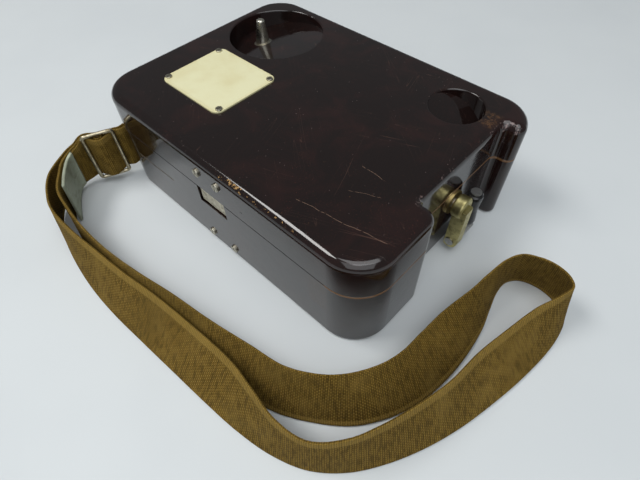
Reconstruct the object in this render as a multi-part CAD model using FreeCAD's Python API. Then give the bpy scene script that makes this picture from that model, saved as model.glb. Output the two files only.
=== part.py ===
"""Field telephone: bakelite case with a hinged lid, folding crank, magneto,
ringer, handset and a webbing strap laid out on the table.

Frame: X along the long side towards the crank, Y away from the latch towards
the hinge, Z up, origin on the table under the middle of the case. Millimetres.
"""
import FreeCAD
import Part
import math
import os

V = FreeCAD.Vector
X_AXIS = V(1, 0, 0)
Y_AXIS = V(0, 1, 0)
Z_AXIS = V(0, 0, 1)

# Case and lid, outside sizes
CASE_LENGTH = 270.0
CASE_WIDTH = 196.0
SEAM_HEIGHT = 57.0
LID_HEIGHT = 30.0
CORNER_RADIUS = 28.0
TOP_EDGE_RADIUS = 6.4
BOTTOM_EDGE_RADIUS = 2.5
SEAM_EDGE_RADIUS = 0.5

# Where the case's outer faces stand
RIGHT_X = CASE_LENGTH / 2
LEFT_X = -CASE_LENGTH / 2
FAR_Y = CASE_WIDTH / 2
NEAR_Y = -CASE_WIDTH / 2

# Moulding walls
WALL = 4.2
FLOOR_THICKNESS = 4.5
LID_TOP_THICKNESS = 4.5
LIP_HEIGHT = 2.0
LIP_WALL = 1.7
LIP_GAP = 0.25

# Bay in the right end that holds the folded crank
NOTCH_DEPTH = 15.0
BAY_X = RIGHT_X - NOTCH_DEPTH
NOTCH_NEAR_Y = NEAR_Y + 69.0
NOTCH_FAR_Y = FAR_Y - 29.5
NOTCH_NEAR_CORNER = 9.0
NOTCH_FAR_CORNER = 6.9
NOTCH_INNER_NEAR = 4.0
NOTCH_INNER_FAR = 5.0

# Handset rests sunk into the lid, with floors that slope outwards
EAR_REST_X = LEFT_X + 49.7
EAR_REST_Y = FAR_Y - 50.7
EAR_REST_RADIUS = 40.0
EAR_REST_DEPTH = 8.0
EAR_REST_TILT = 10.0
MOUTH_REST_X = RIGHT_X - 49.2
MOUTH_REST_Y = FAR_Y - 35.6
MOUTH_REST_RADIUS = 20.2
MOUTH_REST_DEPTH = 9.8
MOUTH_REST_TILT = 24.5
REST_RIM_RADIUS = 1.3
REST_WALL = 3.0

# Writing plate on the lid
PLATE_X = LEFT_X + 67.4
PLATE_Y = NEAR_Y + 68.0
PLATE_LENGTH = 67.6
PLATE_WIDTH = 59.8
PLATE_THICKNESS = 1.2
PLATE_CORNER = 6.5
PLATE_SCREW_SPACING_X = 61.3
PLATE_SCREW_SPACING_Y = 49.4

# Screws
SMALL_HEAD_RADIUS = 2.6
SMALL_HEAD_HEIGHT = 1.1
SMALL_SHANK_RADIUS = 1.2
CATCH_HEAD_RADIUS = 3.2
CATCH_HEAD_HEIGHT = 1.5
CATCH_SHANK_RADIUS = 1.5
SCREW_GAP = 0.15
SLOT_WIDTH = 0.7
SLOT_DEPTH = 0.6

# Hook switch plunger in the ear rest
PLUNGER_X = EAR_REST_X - 12.7
PLUNGER_Y = EAR_REST_Y - 5.8
PLUNGER_BASE_RADIUS = 6.0
PLUNGER_TIP_RADIUS = 3.2
PLUNGER_HEIGHT = 20.0
PLUNGER_TRAVEL = 6.0
PLUNGER_STEM_RADIUS = 2.5
PLUNGER_COLLAR = 1.2
PLUNGER_FIT = 0.08
PLUNGER_BUSH_WALL = 1.6
PLUNGER_BUSH_DROP = 3.0

# Latch in the near wall
LATCH_X = -3.5
LATCH_WIDTH = 27.6
LATCH_LOW_Z = SEAM_HEIGHT - 14.0
LATCH_GAP = 1.2
LATCH_PROUD = -1.2
LATCH_THICKNESS = 1.5
LATCH_BOSS = 2.0
LATCH_PIN_RADIUS = 1.2
LATCH_PIN_FIT = 0.05
LATCH_PIN_Z = 19.0
LATCH_PIN_DEPTH = 11.0
LATCH_LUG_GAP = 0.2
LATCH_SCREW_Z = 8.0
LATCH_SCREW_SPACING = 26.0
LATCH_SCREW_X = -2.0
CATCH_SCREW_Z = SEAM_HEIGHT + 16.0
CATCH_SCREW_SPACING = 21.0
CATCH_THICKNESS = 1.6

# Hinge on the far wall
HINGE_X = -5.0
HINGE_LENGTH = 99.0
HINGE_LEAF = 1.6
HINGE_BARREL_RADIUS = 3.2
HINGE_AXIS_GAP = 0.3
HINGE_PIN_RADIUS = 1.5
HINGE_PIN_FIT = 0.05
HINGE_KNUCKLES = 5
HINGE_KNUCKLE_GAP = 0.3
HINGE_LEAF_UP = 24.0
HINGE_LEAF_DOWN = 24.0

# Crank
SHAFT_Y = NEAR_Y + 118.0
SHAFT_Z = 46.0
SHAFT_RADIUS = 4.0
SHAFT_FIT = 0.05
BUSH_RADIUS = 7.0
HUB_RADIUS = 8.5
HUB_LENGTH = 8.5
HUB_BACK = 1.5
HUB_EDGE_RADIUS = 1.6
ARM_REACH = 34.0
ARM_WIDTH = 10.0
ARM_INNER_X = BAY_X + 4.5
ARM_OUTER_X = ARM_INNER_X + 10.0
ARM_END_RADIUS = 6.0
GRIP_OFFSET = 16.5
GRIP_RADIUS = 6.0
GRIP_LENGTH = 30.0
GRIP_BORE_FIT = 0.08
SPINDLE_RADIUS = 2.6
PIVOT_RADIUS = 2.2
PIVOT_FIT = 0.06
EYE_RADIUS = 5.0

# Gears
GEAR_MODULE = 1.0
DRIVE_TEETH = 30
PINION_TEETH = 10
GEAR_THICKNESS = 5.0
GEAR_X = BAY_X - 16.0
GEAR_BACKLASH = 0.24
PRESSURE_ANGLE = 20.0

# Magneto
ARMATURE_RADIUS = 11.0
ARMATURE_GAP = 0.4
ARMATURE_LENGTH = 52.0
ARMATURE_X0 = BAY_X - 80.0
MAGNET_COUNT = 4
MAGNET_THICKNESS = 12.0
MAGNET_OUTER = 18.0
MAGNET_INNER = 13.0
MAGNET_REACH = 36.0
END_PLATE_THICKNESS = 3.0

# Inner deck
DECK_TOP = 53.0
DECK_THICKNESS = 3.0
DECK_NEAR_Y = NEAR_Y + 82.0
DECK_GAP = 0.4
HOOD_HEIGHT = 13.0
HOOD_WALL = 2.0
SKIRT_THICKNESS = 2.5
DECK_POST_RADIUS = 5.0

# Ringer
GONG_SPARE = 31.3
GONG_NEAR_GAP = 6.5
GONG_FAR_GAP = 8.8
CLAPPER_ROD_Z = 27.0
CLAPPER_ROD_RADIUS = 1.0
CLAPPER_BALL_RADIUS = 3.6
GONG_HEIGHT = 12.0
GONG_WALL = 1.4
GONG_X = LEFT_X + 35.0
GONG_LOW_Z = 22.0
COIL_X0 = GONG_X + 30.0
COIL_Z = 20.0
COIL_RADIUS = 8.0
COIL_LENGTH = 26.0
COIL_SPACING = 22.0
COIL_CHEEK = 1.5
COIL_CHEEK_RISE = 2.0
YOKE_GAP = 1.6
YOKE_THICKNESS = 4.0
YOKE_TOP_Z = 32.0
CLAPPER_X = GONG_X + 24.0
CLAPPER_BAR = 2.4
CLAPPER_BAR_LOW_Z = 15.0
CLAPPER_BAR_HEIGHT = 10.0
CLAPPER_HUB_RADIUS = 3.4
CLAPPER_HUB_LOW_Z = 12.0
CLAPPER_HUB_HEIGHT = 17.0
CLAPPER_PIN_RADIUS = 1.5
CLAPPER_PIN_HEIGHT = 27.0

# Dry cell, condenser and speech coil; the last two take shares of the shelf
# between the far gong and the magneto
CELL_TOP_Z = 43.0
CELL_YOKE_GAP = 3.0
CONDENSER_TOP_Z = 36.0
CONDENSER_START = 21.0 / 121.0
CONDENSER_END = 51.0 / 121.0
SPEECH_COIL_START = 59.0 / 121.0
SPEECH_COIL_END = 109.0 / 121.0
SPEECH_COIL_RADIUS = 10.0
SPEECH_COIL_CHEEK = 2.0
SPEECH_COIL_HALF = 13.0
SPEECH_COIL_TOP_Z = 34.0
PART_REST_GAP = 0.2

# Handset
HANDSET_Y = NEAR_Y + 43.0
HANDSET_EAR_X = LEFT_X + 49.0
HANDSET_MOUTH_X = BAY_X - 42.0
EAR_CAP_RADIUS = 33.0
EAR_CAP_HEIGHT = 20.0
MOUTH_CAP_RADIUS = 25.0
MOUTH_CAP_HEIGHT = 17.0
HANDLE_WIDTH = 24.0
HANDLE_HEIGHT = 20.0
HANDSET_BASE_Z = 5.2
TALK_KEY_SLOT_Z = 43.5
TALK_KEY_LENGTH = 34.0
TALK_KEY_WIDTH = 9.0
TALK_KEY_TRAVEL = 2.0

# Line terminals on the deck
TERMINAL_STUD_RADIUS = 2.0
TERMINAL_Y = FAR_Y - 20.0
TERMINAL_SPACING = 24.0

# Strap bracket on the left end
BRACKET_Y = NEAR_Y + 40.0
BRACKET_REACH = 5.7
BRACKET_BAR_RADIUS = 2.0
BRACKET_PLATE = 1.5
BRACKET_SCREW_SPACING = 11.0
BRACKET_FOOT_HALF = 9.0
BRACKET_FOOT_HEIGHT = 8.0

# Carrying strap and its slide buckle
STRAP_SEAM_ROOM = 18.0
STRAP_WIDTH = SEAM_HEIGHT - STRAP_SEAM_ROOM
STRAP_THICKNESS = 1.8
STRAP_FLOAT = 0.1
STRAP_LIFT = 9.3
STRAP_FIT = 0.25
TIP_WALL = 0.4
SLIDE_X = LEFT_X + 2.5
SLIDE_Y = NEAR_Y - 17.0
SLIDE_HEADING = 247.8
SLIDE_LENGTH = 24.0
SLIDE_WIRE_RADIUS = 1.6
SLIDE_BEND_RADIUS = 2.4
SLIDE_SIDE_GAP = 0.7
SLIDE_BAR_STEP = 0.15


def box(x0, x1, y0, y1, z0, z1):
    """A block between two corners."""
    return Part.makeBox(x1 - x0, y1 - y0, z1 - z0, V(x0, y0, z0))


def rod(start, direction, radius, length):
    """A cylinder from a point along a direction."""
    return Part.makeCylinder(radius, length, V(*start), direction)


def pipe(start, direction, outer, inner, length):
    """A cylinder with a bore right through it."""
    return rod(start, direction, outer, length).cut(rod(start, direction, inner, length))


def fused(shapes):
    """All shapes as one solid with its seams cleaned."""
    shapes = list(shapes)
    whole = shapes[0]
    if len(shapes) > 1:
        whole = whole.multiFuse(shapes[1:])
    return whole.removeSplitter()


def wire_of(points):
    """A closed outline through the points."""
    return Part.makePolygon([V(*p) for p in points] + [V(*points[0])])


def prism(points, direction):
    """A closed outline pushed along a vector."""
    return Part.Face(wire_of(points)).extrude(direction)


def edges_where(shape, test):
    """The edges whose ends and middle all pass a test."""
    found = []
    for edge in shape.Edges:
        middle = edge.valueAt((edge.FirstParameter + edge.LastParameter) / 2)
        points = [v.Point for v in edge.Vertexes] + [middle]
        if all(test(p) for p in points):
            found.append(edge)
    return found


def softened(shape, radius, test):
    """The shape with the edges that pass a test rounded."""
    return shape.makeFillet(radius, edges_where(shape, test))


def upright_corner(x, y):
    """A test for the upright edge that stands at x, y."""
    return lambda p: abs(p.x - x) < 0.6 and abs(p.y - y) < 0.6


def rounded_slab(x0, x1, y0, y1, z0, z1, radius):
    """A block with its four upright edges rounded."""
    slab = box(x0, x1, y0, y1, z0, z1)
    upright = [e for e in slab.Edges if abs(e.tangentAt(e.FirstParameter).z) > 0.9]
    return slab.makeFillet(radius, upright)


def revolved(profile, centre):
    """A closed (radius, height) profile turned about an upright axis."""
    cx, cy = centre
    face = Part.Face(wire_of([(cx + r, cy, z) for r, z in profile]))
    return face.revolve(V(cx, cy, 0), Z_AXIS, 360)


def case_block(z0, z1, inset=0.0):
    """The case's plan form between two heights, drawn in by an inset."""
    half_x = CASE_LENGTH / 2 - inset
    half_y = CASE_WIDTH / 2 - inset
    corner = CORNER_RADIUS - inset
    body = rounded_slab(-half_x, half_x, -half_y, half_y, z0, z1, corner)
    bay_x = CASE_LENGTH / 2 - NOTCH_DEPTH - inset
    near_y = NOTCH_NEAR_Y - inset
    far_y = NOTCH_FAR_Y + inset
    body = body.cut(box(bay_x, half_x + 5, near_y, far_y, z0 - 1, z1 + 1))
    body = softened(body, NOTCH_NEAR_CORNER - inset, upright_corner(half_x, near_y))
    body = softened(body, NOTCH_INNER_NEAR + inset, upright_corner(bay_x, near_y))
    body = softened(body, NOTCH_INNER_FAR + inset, upright_corner(bay_x, far_y))
    rise = far_y - (half_y - corner)
    meet_x = half_x - corner + math.sqrt(corner ** 2 - max(rise, 0.0) ** 2)
    return softened(body, NOTCH_FAR_CORNER - inset, upright_corner(meet_x, far_y))


def handset_direction():
    """The level direction from the ear rest to the mouth rest."""
    line = V(MOUTH_REST_X - EAR_REST_X, MOUTH_REST_Y - EAR_REST_Y, 0)
    return line.normalize()


def lid_top():
    """Height of the lid's upper face."""
    return SEAM_HEIGHT + LID_HEIGHT


def rest_floor(x, y, depth, tilt, outward):
    """The half space above a sloping rest floor that sinks outwards."""
    size = 200.0
    block = Part.makeBox(size, size, size, V(-size / 2, -size / 2, 0))
    block.rotate(V(0, 0, 0), Y_AXIS, tilt)
    block.rotate(V(0, 0, 0), Z_AXIS, math.degrees(math.atan2(outward.y, outward.x)))
    block.translate(V(x, y, lid_top() - depth))
    return block


def rest_hollow(x, y, radius, depth, tilt, outward):
    """The space of a handset rest: a round well, a rounded rim, a sloping floor."""
    top = lid_top()
    low = top - depth - radius * math.tan(math.radians(tilt)) - 1.0
    rim = REST_RIM_RADIUS
    start = V(x + radius, y, top - rim)
    end = V(x + radius + rim, y, top)
    bend = V(x + radius + rim * (1 - math.sqrt(0.5)), y, top - rim * (1 - math.sqrt(0.5)))
    edges = [
        Part.LineSegment(V(x, y, low), V(x + radius, y, low)).toShape(),
        Part.LineSegment(V(x + radius, y, low), start).toShape(),
        Part.Arc(start, bend, end).toShape(),
        Part.LineSegment(end, V(x + radius + rim, y, top + 5)).toShape(),
        Part.LineSegment(V(x + radius + rim, y, top + 5), V(x, y, top + 5)).toShape(),
        Part.LineSegment(V(x, y, top + 5), V(x, y, low)).toShape(),
    ]
    well = Part.Face(Part.Wire(edges)).revolve(V(x, y, 0), Z_AXIS, 360)
    return well.common(rest_floor(x, y, depth, tilt, outward))


def rests():
    """Place, radius, depth, tilt and outward direction of both rests."""
    along = handset_direction()
    ear = (EAR_REST_X, EAR_REST_Y, EAR_REST_RADIUS, EAR_REST_DEPTH, EAR_REST_TILT, -along)
    mouth = (MOUTH_REST_X, MOUTH_REST_Y, MOUTH_REST_RADIUS, MOUTH_REST_DEPTH,
             MOUTH_REST_TILT, along)
    return [ear, mouth]


def ear_floor_height(x, y):
    """Height of the ear rest's sloping floor at a point."""
    out = -handset_direction()
    run = (x - EAR_REST_X) * out.x + (y - EAR_REST_Y) * out.y
    return lid_top() - EAR_REST_DEPTH - run * math.tan(math.radians(EAR_REST_TILT))


def plate_screw_places():
    """Centres of the four writing plate screws."""
    half_x = PLATE_SCREW_SPACING_X / 2
    half_y = PLATE_SCREW_SPACING_Y / 2
    return [(PLATE_X + i * half_x, PLATE_Y + j * half_y) for i in (-1, 1) for j in (-1, 1)]


def pair_places(centre, spacing):
    """Two places set evenly about a centre."""
    return [centre - spacing / 2, centre + spacing / 2]


def hinge_axis_y():
    """How far back the hinge pin runs."""
    return FAR_Y + HINGE_BARREL_RADIUS + HINGE_AXIS_GAP


def hinge_screw_places():
    """Distances along X of the screws in each hinge leaf."""
    pitch = HINGE_LENGTH / 3
    return [HINGE_X - pitch, HINGE_X, HINGE_X + pitch]


def slotted_screw(x, y, z, direction, head_radius, head_height, shank_radius, length):
    """A screw whose head stands out along a direction, its shank the other way."""
    head = rod((x, y, z), direction, head_radius, head_height)
    rim = [e for e in head.Edges if (e.CenterOfMass - V(x, y, z)).dot(direction) > head_height * 0.9]
    head = head.makeFillet(head_height * 0.35, rim)
    side = Z_AXIS if abs(direction.z) < 0.5 else Y_AXIS
    slot = Part.makeBox(SLOT_WIDTH, head_radius * 3, SLOT_DEPTH * 2,
                        V(-SLOT_WIDTH / 2, -head_radius * 1.5, -SLOT_DEPTH))
    turn = FreeCAD.Rotation(side.cross(direction), side, direction, "ZYX")
    slot.Placement = FreeCAD.Placement(V(x, y, z) + direction * head_height, turn)
    shank = rod((x, y, z), -direction, shank_radius, length)
    return fused([head.cut(slot), shank])


def lid():
    """The lid: a deep cover with two handset rests sunk into its top."""
    top = lid_top()
    seam = SEAM_HEIGHT + 0.1
    outer = case_block(seam, top)
    outer = softened(outer, TOP_EDGE_RADIUS, lambda p: p.z > top - 0.01)
    outer = softened(outer, SEAM_EDGE_RADIUS, lambda p: p.z < seam + 0.01)
    hollow = case_block(seam - 1, top - LID_TOP_THICKNESS, WALL)
    shell = outer.cut(hollow)
    for x, y, radius, depth, tilt, out in rests():
        cup = rod((x, y, seam + 2), Z_AXIS, radius + REST_WALL, LID_HEIGHT - 4)
        cup = cup.common(rest_floor(x, y, depth + REST_WALL, tilt, out))
        shell = shell.fuse(cup.common(case_block(seam, top, WALL / 2)))
    for x, y, radius, depth, tilt, out in rests():
        shell = shell.cut(rest_hollow(x, y, radius, depth, tilt, out))
    lip_room = case_block(seam - 1, SEAM_HEIGHT + LIP_HEIGHT + LIP_GAP, WALL - LIP_WALL - LIP_GAP)
    shell = shell.cut(lip_room)
    for x, y in plate_screw_places():
        shell = shell.cut(rod((x, y, top + 1), -Z_AXIS, SMALL_SHANK_RADIUS + SCREW_GAP, 5))
    for x in pair_places(LATCH_SCREW_X, CATCH_SCREW_SPACING):
        hole = rod((x, NEAR_Y - 1, CATCH_SCREW_Z), Y_AXIS, CATCH_SHANK_RADIUS + SCREW_GAP, 9)
        shell = shell.cut(hole)
    for x in hinge_screw_places():
        hole = rod((x, FAR_Y + 1, hinge_screw_height(1)), -Y_AXIS,
                   SMALL_SHANK_RADIUS + SCREW_GAP, 9)
        shell = shell.cut(hole)
    floor = ear_floor_height(PLUNGER_X, PLUNGER_Y)
    bore = rod((PLUNGER_X, PLUNGER_Y, floor + 5), -Z_AXIS, plunger_bush_radius(), 20)
    return shell.cut(bore).removeSplitter()


def hinge_screw_height(side):
    """Height of the screws in the upper (1) or lower (-1) hinge leaf."""
    return SEAM_HEIGHT + side * HINGE_LEAF_UP * 0.62


def plunger_bush_radius():
    """The hole in the rest floor that the plunger's bush fills."""
    return PLUNGER_BASE_RADIUS + PLUNGER_FIT + PLUNGER_BUSH_WALL


def latch_window():
    """The opening in the near wall that shows the latch."""
    half = LATCH_WIDTH / 2 + LATCH_GAP
    return box(LATCH_X - half, LATCH_X + half, NEAR_Y - 1, NEAR_Y + WALL + 0.5,
               LATCH_LOW_Z - LATCH_GAP, SEAM_HEIGHT + LIP_HEIGHT + 2)


def lower_case():
    """The lower case: a deep tray with the crank bay, window and lip."""
    outer = case_block(0, SEAM_HEIGHT)
    outer = softened(outer, BOTTOM_EDGE_RADIUS, lambda p: p.z < 0.01)
    outer = softened(outer, SEAM_EDGE_RADIUS, lambda p: p.z > SEAM_HEIGHT - 0.01)
    lip = case_block(SEAM_HEIGHT - 3, SEAM_HEIGHT + LIP_HEIGHT, WALL - LIP_WALL)
    hollow = case_block(FLOOR_THICKNESS, SEAM_HEIGHT + LIP_HEIGHT + 1, WALL)
    shell = outer.fuse(lip).cut(hollow)
    half = latch_pad_half()
    pad = box(LATCH_X - half, LATCH_X + half, NEAR_Y + 2, latch_plate_y(), 2, 13)
    posts = []
    for x, y in deck_post_places():
        posts.append(rod((x, y, 1), Z_AXIS, DECK_POST_RADIUS, DECK_TOP - DECK_THICKNESS - 1))
    shell = shell.multiFuse([pad] + posts)
    for x, y in deck_post_places():
        shell = shell.cut(rod((x, y, DECK_TOP), -Z_AXIS, CATCH_SHANK_RADIUS + SCREW_GAP, 16))
    shell = shell.cut(latch_window())
    shell = shell.cut(rod((BAY_X + 1, SHAFT_Y, SHAFT_Z), -X_AXIS, BUSH_RADIUS, WALL + 3))
    for x in pair_places(LATCH_SCREW_X, LATCH_SCREW_SPACING):
        hole = rod((x, NEAR_Y - 1, LATCH_SCREW_Z), Y_AXIS, CATCH_SHANK_RADIUS + SCREW_GAP, 12)
        shell = shell.cut(hole)
    for x in hinge_screw_places():
        hole = rod((x, FAR_Y + 1, hinge_screw_height(-1)), -Y_AXIS,
                   SMALL_SHANK_RADIUS + SCREW_GAP, 9)
        shell = shell.cut(hole)
    for z in bracket_screw_heights():
        for y in pair_places(BRACKET_Y, BRACKET_SCREW_SPACING):
            hole = rod((LEFT_X - 1, y, z), X_AXIS, SMALL_SHANK_RADIUS + SCREW_GAP, 9)
            shell = shell.cut(hole)
    return shell.removeSplitter()


def bracket_span():
    """The heights between which the bracket's bar stands."""
    return (STRAP_LIFT - 3.5, STRAP_LIFT + STRAP_WIDTH + 3.5)


def bracket_screw_heights():
    """Heights of the two screws that hold the strap bracket's feet."""
    low, high = bracket_span()
    return [low - 1.0, high + 1.0]


def deck_post_places():
    """Places of the posts that carry the inner deck."""
    near = DECK_NEAR_Y + 8
    middle = ARMATURE_X0 - 6
    right = BAY_X - 12
    return [(LEFT_X + 13, near), (LEFT_X + 17, FAR_Y - 14), (middle, FAR_Y - 10),
            (right, FAR_Y - 14), (middle, near), (right, near)]


def deck_panel():
    """The inner deck with its skirt towards the handset bay and a gear hood."""
    low = DECK_TOP - DECK_THICKNESS
    plan = case_block(low, DECK_TOP, WALL + DECK_GAP)
    plan = plan.common(box(LEFT_X, RIGHT_X, DECK_NEAR_Y, FAR_Y, low - 1, DECK_TOP + 1))
    skirt = box(LEFT_X + WALL + DECK_GAP, BAY_X - WALL - DECK_GAP, DECK_NEAR_Y,
                DECK_NEAR_Y + SKIRT_THICKNESS, FLOOR_THICKNESS + 0.3, DECK_TOP)
    reach = GEAR_MODULE * DRIVE_TEETH / 2 + GEAR_MODULE + 2.5
    hood_x1 = BAY_X - WALL - DECK_GAP
    hood_x0 = ARMATURE_X0 + ARMATURE_LENGTH - 2
    hood = rounded_slab(hood_x0, hood_x1, SHAFT_Y - reach, SHAFT_Y + reach,
                        low, DECK_TOP + HOOD_HEIGHT, HOOD_WALL)
    room = box(hood_x0 + 1.5, hood_x1 - 1.5, SHAFT_Y - reach + HOOD_WALL, SHAFT_Y + reach - HOOD_WALL,
               low - 1, DECK_TOP + HOOD_HEIGHT - HOOD_WALL)
    deck = fused([plan, skirt, hood]).cut(room)
    for x, y in deck_post_places():
        deck = deck.cut(rod((x, y, DECK_TOP + 1), -Z_AXIS, CATCH_SHANK_RADIUS + SCREW_GAP, 6))
    deck = deck.cut(rod((PLUNGER_X, PLUNGER_Y, DECK_TOP + 1), -Z_AXIS, 5, 6))
    for x, y in terminal_places():
        deck = deck.cut(rod((x, y, DECK_TOP + 1), -Z_AXIS, TERMINAL_STUD_RADIUS + SCREW_GAP, 6))
    return deck.removeSplitter()


def deck_screws():
    """Six screws that hold the deck on its posts."""
    return [slotted_screw(x, y, DECK_TOP, Z_AXIS, CATCH_HEAD_RADIUS, CATCH_HEAD_HEIGHT,
                          CATCH_SHANK_RADIUS, 12) for x, y in deck_post_places()]


def writing_plate():
    """The blank ivory plate on the lid."""
    top = lid_top()
    plate = rounded_slab(PLATE_X - PLATE_LENGTH / 2, PLATE_X + PLATE_LENGTH / 2,
                         PLATE_Y - PLATE_WIDTH / 2, PLATE_Y + PLATE_WIDTH / 2,
                         top, top + PLATE_THICKNESS, PLATE_CORNER)
    plate = softened(plate, 0.4, lambda p: p.z > top + PLATE_THICKNESS - 0.01)
    for x, y in plate_screw_places():
        plate = plate.cut(rod((x, y, top - 1), Z_AXIS, SMALL_SHANK_RADIUS + SCREW_GAP, 5))
    return plate


def plate_screws():
    """Four small screws through the writing plate."""
    z = lid_top() + PLATE_THICKNESS
    return [slotted_screw(x, y, z, Z_AXIS, SMALL_HEAD_RADIUS, SMALL_HEAD_HEIGHT,
                          SMALL_SHANK_RADIUS, 4.5) for x, y in plate_screw_places()]


def plunger_floor():
    """Height of the ear rest's floor at the plunger."""
    return ear_floor_height(PLUNGER_X, PLUNGER_Y)


def plunger_bush_low():
    """Height of the bush's lower end, under the rest floor."""
    return plunger_floor() - REST_WALL - PLUNGER_BUSH_DROP


def hook_plunger():
    """The nickel cone that the ear cap presses, with its collar and stem."""
    floor = plunger_floor()
    low = floor + PLUNGER_BASE_RADIUS * math.tan(math.radians(EAR_REST_TILT))
    tip = floor + PLUNGER_HEIGHT
    collar_top = plunger_bush_low() - 0.1
    collar_low = collar_top - PLUNGER_COLLAR
    stem_low = DECK_TOP + PLUNGER_TRAVEL + 2.5
    collar = PLUNGER_BASE_RADIUS + PLUNGER_COLLAR
    profile = [(0, stem_low), (PLUNGER_STEM_RADIUS, stem_low), (PLUNGER_STEM_RADIUS, collar_low),
               (collar, collar_low), (collar, collar_top), (PLUNGER_BASE_RADIUS, collar_top),
               (PLUNGER_BASE_RADIUS, low), (PLUNGER_TIP_RADIUS, tip), (0, tip)]
    body = revolved(profile, (PLUNGER_X, PLUNGER_Y))
    return softened(body, PLUNGER_TIP_RADIUS * 0.6, lambda p: p.z > tip - 0.01)


def plunger_bush():
    """The plunger's guide, let into the rest floor and flush with its slope."""
    low = plunger_bush_low()
    radius = plunger_bush_radius() - 0.01
    ring = pipe((PLUNGER_X, PLUNGER_Y, low), Z_AXIS, radius, PLUNGER_BASE_RADIUS + PLUNGER_FIT, 20)
    above = rest_floor(EAR_REST_X, EAR_REST_Y, EAR_REST_DEPTH, EAR_REST_TILT, -handset_direction())
    return ring.cut(above)


def latch_plate_y():
    """Where the latch bracket's plate lies against its boss."""
    return NEAR_Y + WALL + LATCH_BOSS


def latch_pin_y():
    """How far in the latch pin runs."""
    return NEAR_Y + LATCH_PIN_DEPTH


def latch_lever():
    """The latch's lever: an eye on the pin, a plate, the pressed head and a hook."""
    half = LATCH_WIDTH / 2
    eye_r = LATCH_PIN_RADIUS + LATCH_THICKNESS
    y1 = latch_pin_y()
    y0 = y1 - LATCH_THICKNESS
    top = SEAM_HEIGHT + 5
    inner = half - 4
    plate = box(LATCH_X - inner, LATCH_X + inner, y0, y1, LATCH_PIN_Z, top)
    eye = rod((LATCH_X - inner, y1, LATCH_PIN_Z), X_AXIS, eye_r, inner * 2)
    head_top = SEAM_HEIGHT - 0.6
    head = box(LATCH_X - half, LATCH_X + half, NEAR_Y - LATCH_PROUD, y1, LATCH_LOW_Z, head_top)
    face_y = NEAR_Y - LATCH_PROUD
    head = softened(head, 0.6, lambda p: p.y < face_y + 0.01)
    nose = box(LATCH_X - 9, LATCH_X + 9, NEAR_Y + WALL + 1.25, y1, top - 2, top)
    lever = fused([plate, eye, head, nose])
    hollow = box(LATCH_X - half + 2, LATCH_X + half - 2, y0 - 3, y1 + 1, LATCH_LOW_Z + 2, head_top - 2)
    lever = lever.cut(hollow.cut(plate))
    bore = rod((LATCH_X - half, y1, LATCH_PIN_Z), X_AXIS, LATCH_PIN_RADIUS + LATCH_PIN_FIT, half * 2)
    return lever.cut(bore)


def latch_bracket():
    """The bracket behind the near wall: a plate and two lugs that hold the pin."""
    y0 = latch_plate_y()
    half = LATCH_WIDTH / 2 - 4 + LATCH_LUG_GAP
    far = half + LATCH_THICKNESS
    pad = latch_pad_half()
    low = FLOOR_THICKNESS + 0.3
    pieces = [box(LATCH_X - pad, LATCH_X + pad, y0, y0 + LATCH_THICKNESS, low, 12.5)]
    for x0 in (LATCH_X - far, LATCH_X + half):
        lug = box(x0, x0 + LATCH_THICKNESS, y0, latch_pin_y() + 3, low, LATCH_PIN_Z + 3)
        pieces.append(softened(lug, 2.5, lambda p: p.z > LATCH_PIN_Z + 2.9 and p.y > latch_pin_y()))
    bracket = fused(pieces)
    bore = rod((LATCH_X - far - 1, latch_pin_y(), LATCH_PIN_Z), X_AXIS, LATCH_PIN_RADIUS + 0.01, far * 2 + 2)
    bracket = bracket.cut(bore)
    for x in pair_places(LATCH_SCREW_X, LATCH_SCREW_SPACING):
        bracket = bracket.cut(rod((x, y0 - 1, LATCH_SCREW_Z), Y_AXIS, CATCH_SHANK_RADIUS + SCREW_GAP, 4))
    return bracket


def latch_pad_half():
    """Half the width of the boss that the latch bracket is screwed to."""
    return LATCH_SCREW_SPACING / 2 + CATCH_HEAD_RADIUS + 2


def latch_pin():
    """The pin that the latch lever turns on."""
    far = LATCH_WIDTH / 2 - 4 + LATCH_LUG_GAP + LATCH_THICKNESS
    return rod((LATCH_X - far, latch_pin_y(), LATCH_PIN_Z), X_AXIS, LATCH_PIN_RADIUS, far * 2)


def latch_screws():
    """Two screws low on the near wall that hold the latch leaf."""
    return [slotted_screw(x, NEAR_Y, LATCH_SCREW_Z, -Y_AXIS, CATCH_HEAD_RADIUS,
                          CATCH_HEAD_HEIGHT, CATCH_SHANK_RADIUS, WALL + LATCH_BOSS + LATCH_THICKNESS)
            for x in pair_places(LATCH_SCREW_X, LATCH_SCREW_SPACING)]


def lid_catch():
    """The keeper plate inside the lid, which the latch hook stands behind."""
    inner = NEAR_Y + WALL + 0.05
    low = SEAM_HEIGHT + 0.6
    plate = box(LATCH_X - 17, LATCH_X + 17, inner, inner + CATCH_THICKNESS - 0.65, low,
                CATCH_SCREW_Z + 6)
    window = box(LATCH_X - 10, LATCH_X + 10, inner - 1, inner + 4, SEAM_HEIGHT + 2.4, SEAM_HEIGHT + 6)
    plate = plate.cut(window)
    for x in pair_places(LATCH_SCREW_X, CATCH_SCREW_SPACING):
        plate = plate.cut(rod((x, inner - 1, CATCH_SCREW_Z), Y_AXIS, CATCH_SHANK_RADIUS + SCREW_GAP, 4))
    return plate


def catch_screws():
    """Two screws in the lid's near wall that hold the keeper plate."""
    return [slotted_screw(x, NEAR_Y, CATCH_SCREW_Z, -Y_AXIS, CATCH_HEAD_RADIUS,
                          CATCH_HEAD_HEIGHT, CATCH_SHANK_RADIUS, WALL + 1)
            for x in pair_places(LATCH_SCREW_X, CATCH_SCREW_SPACING)]


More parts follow.
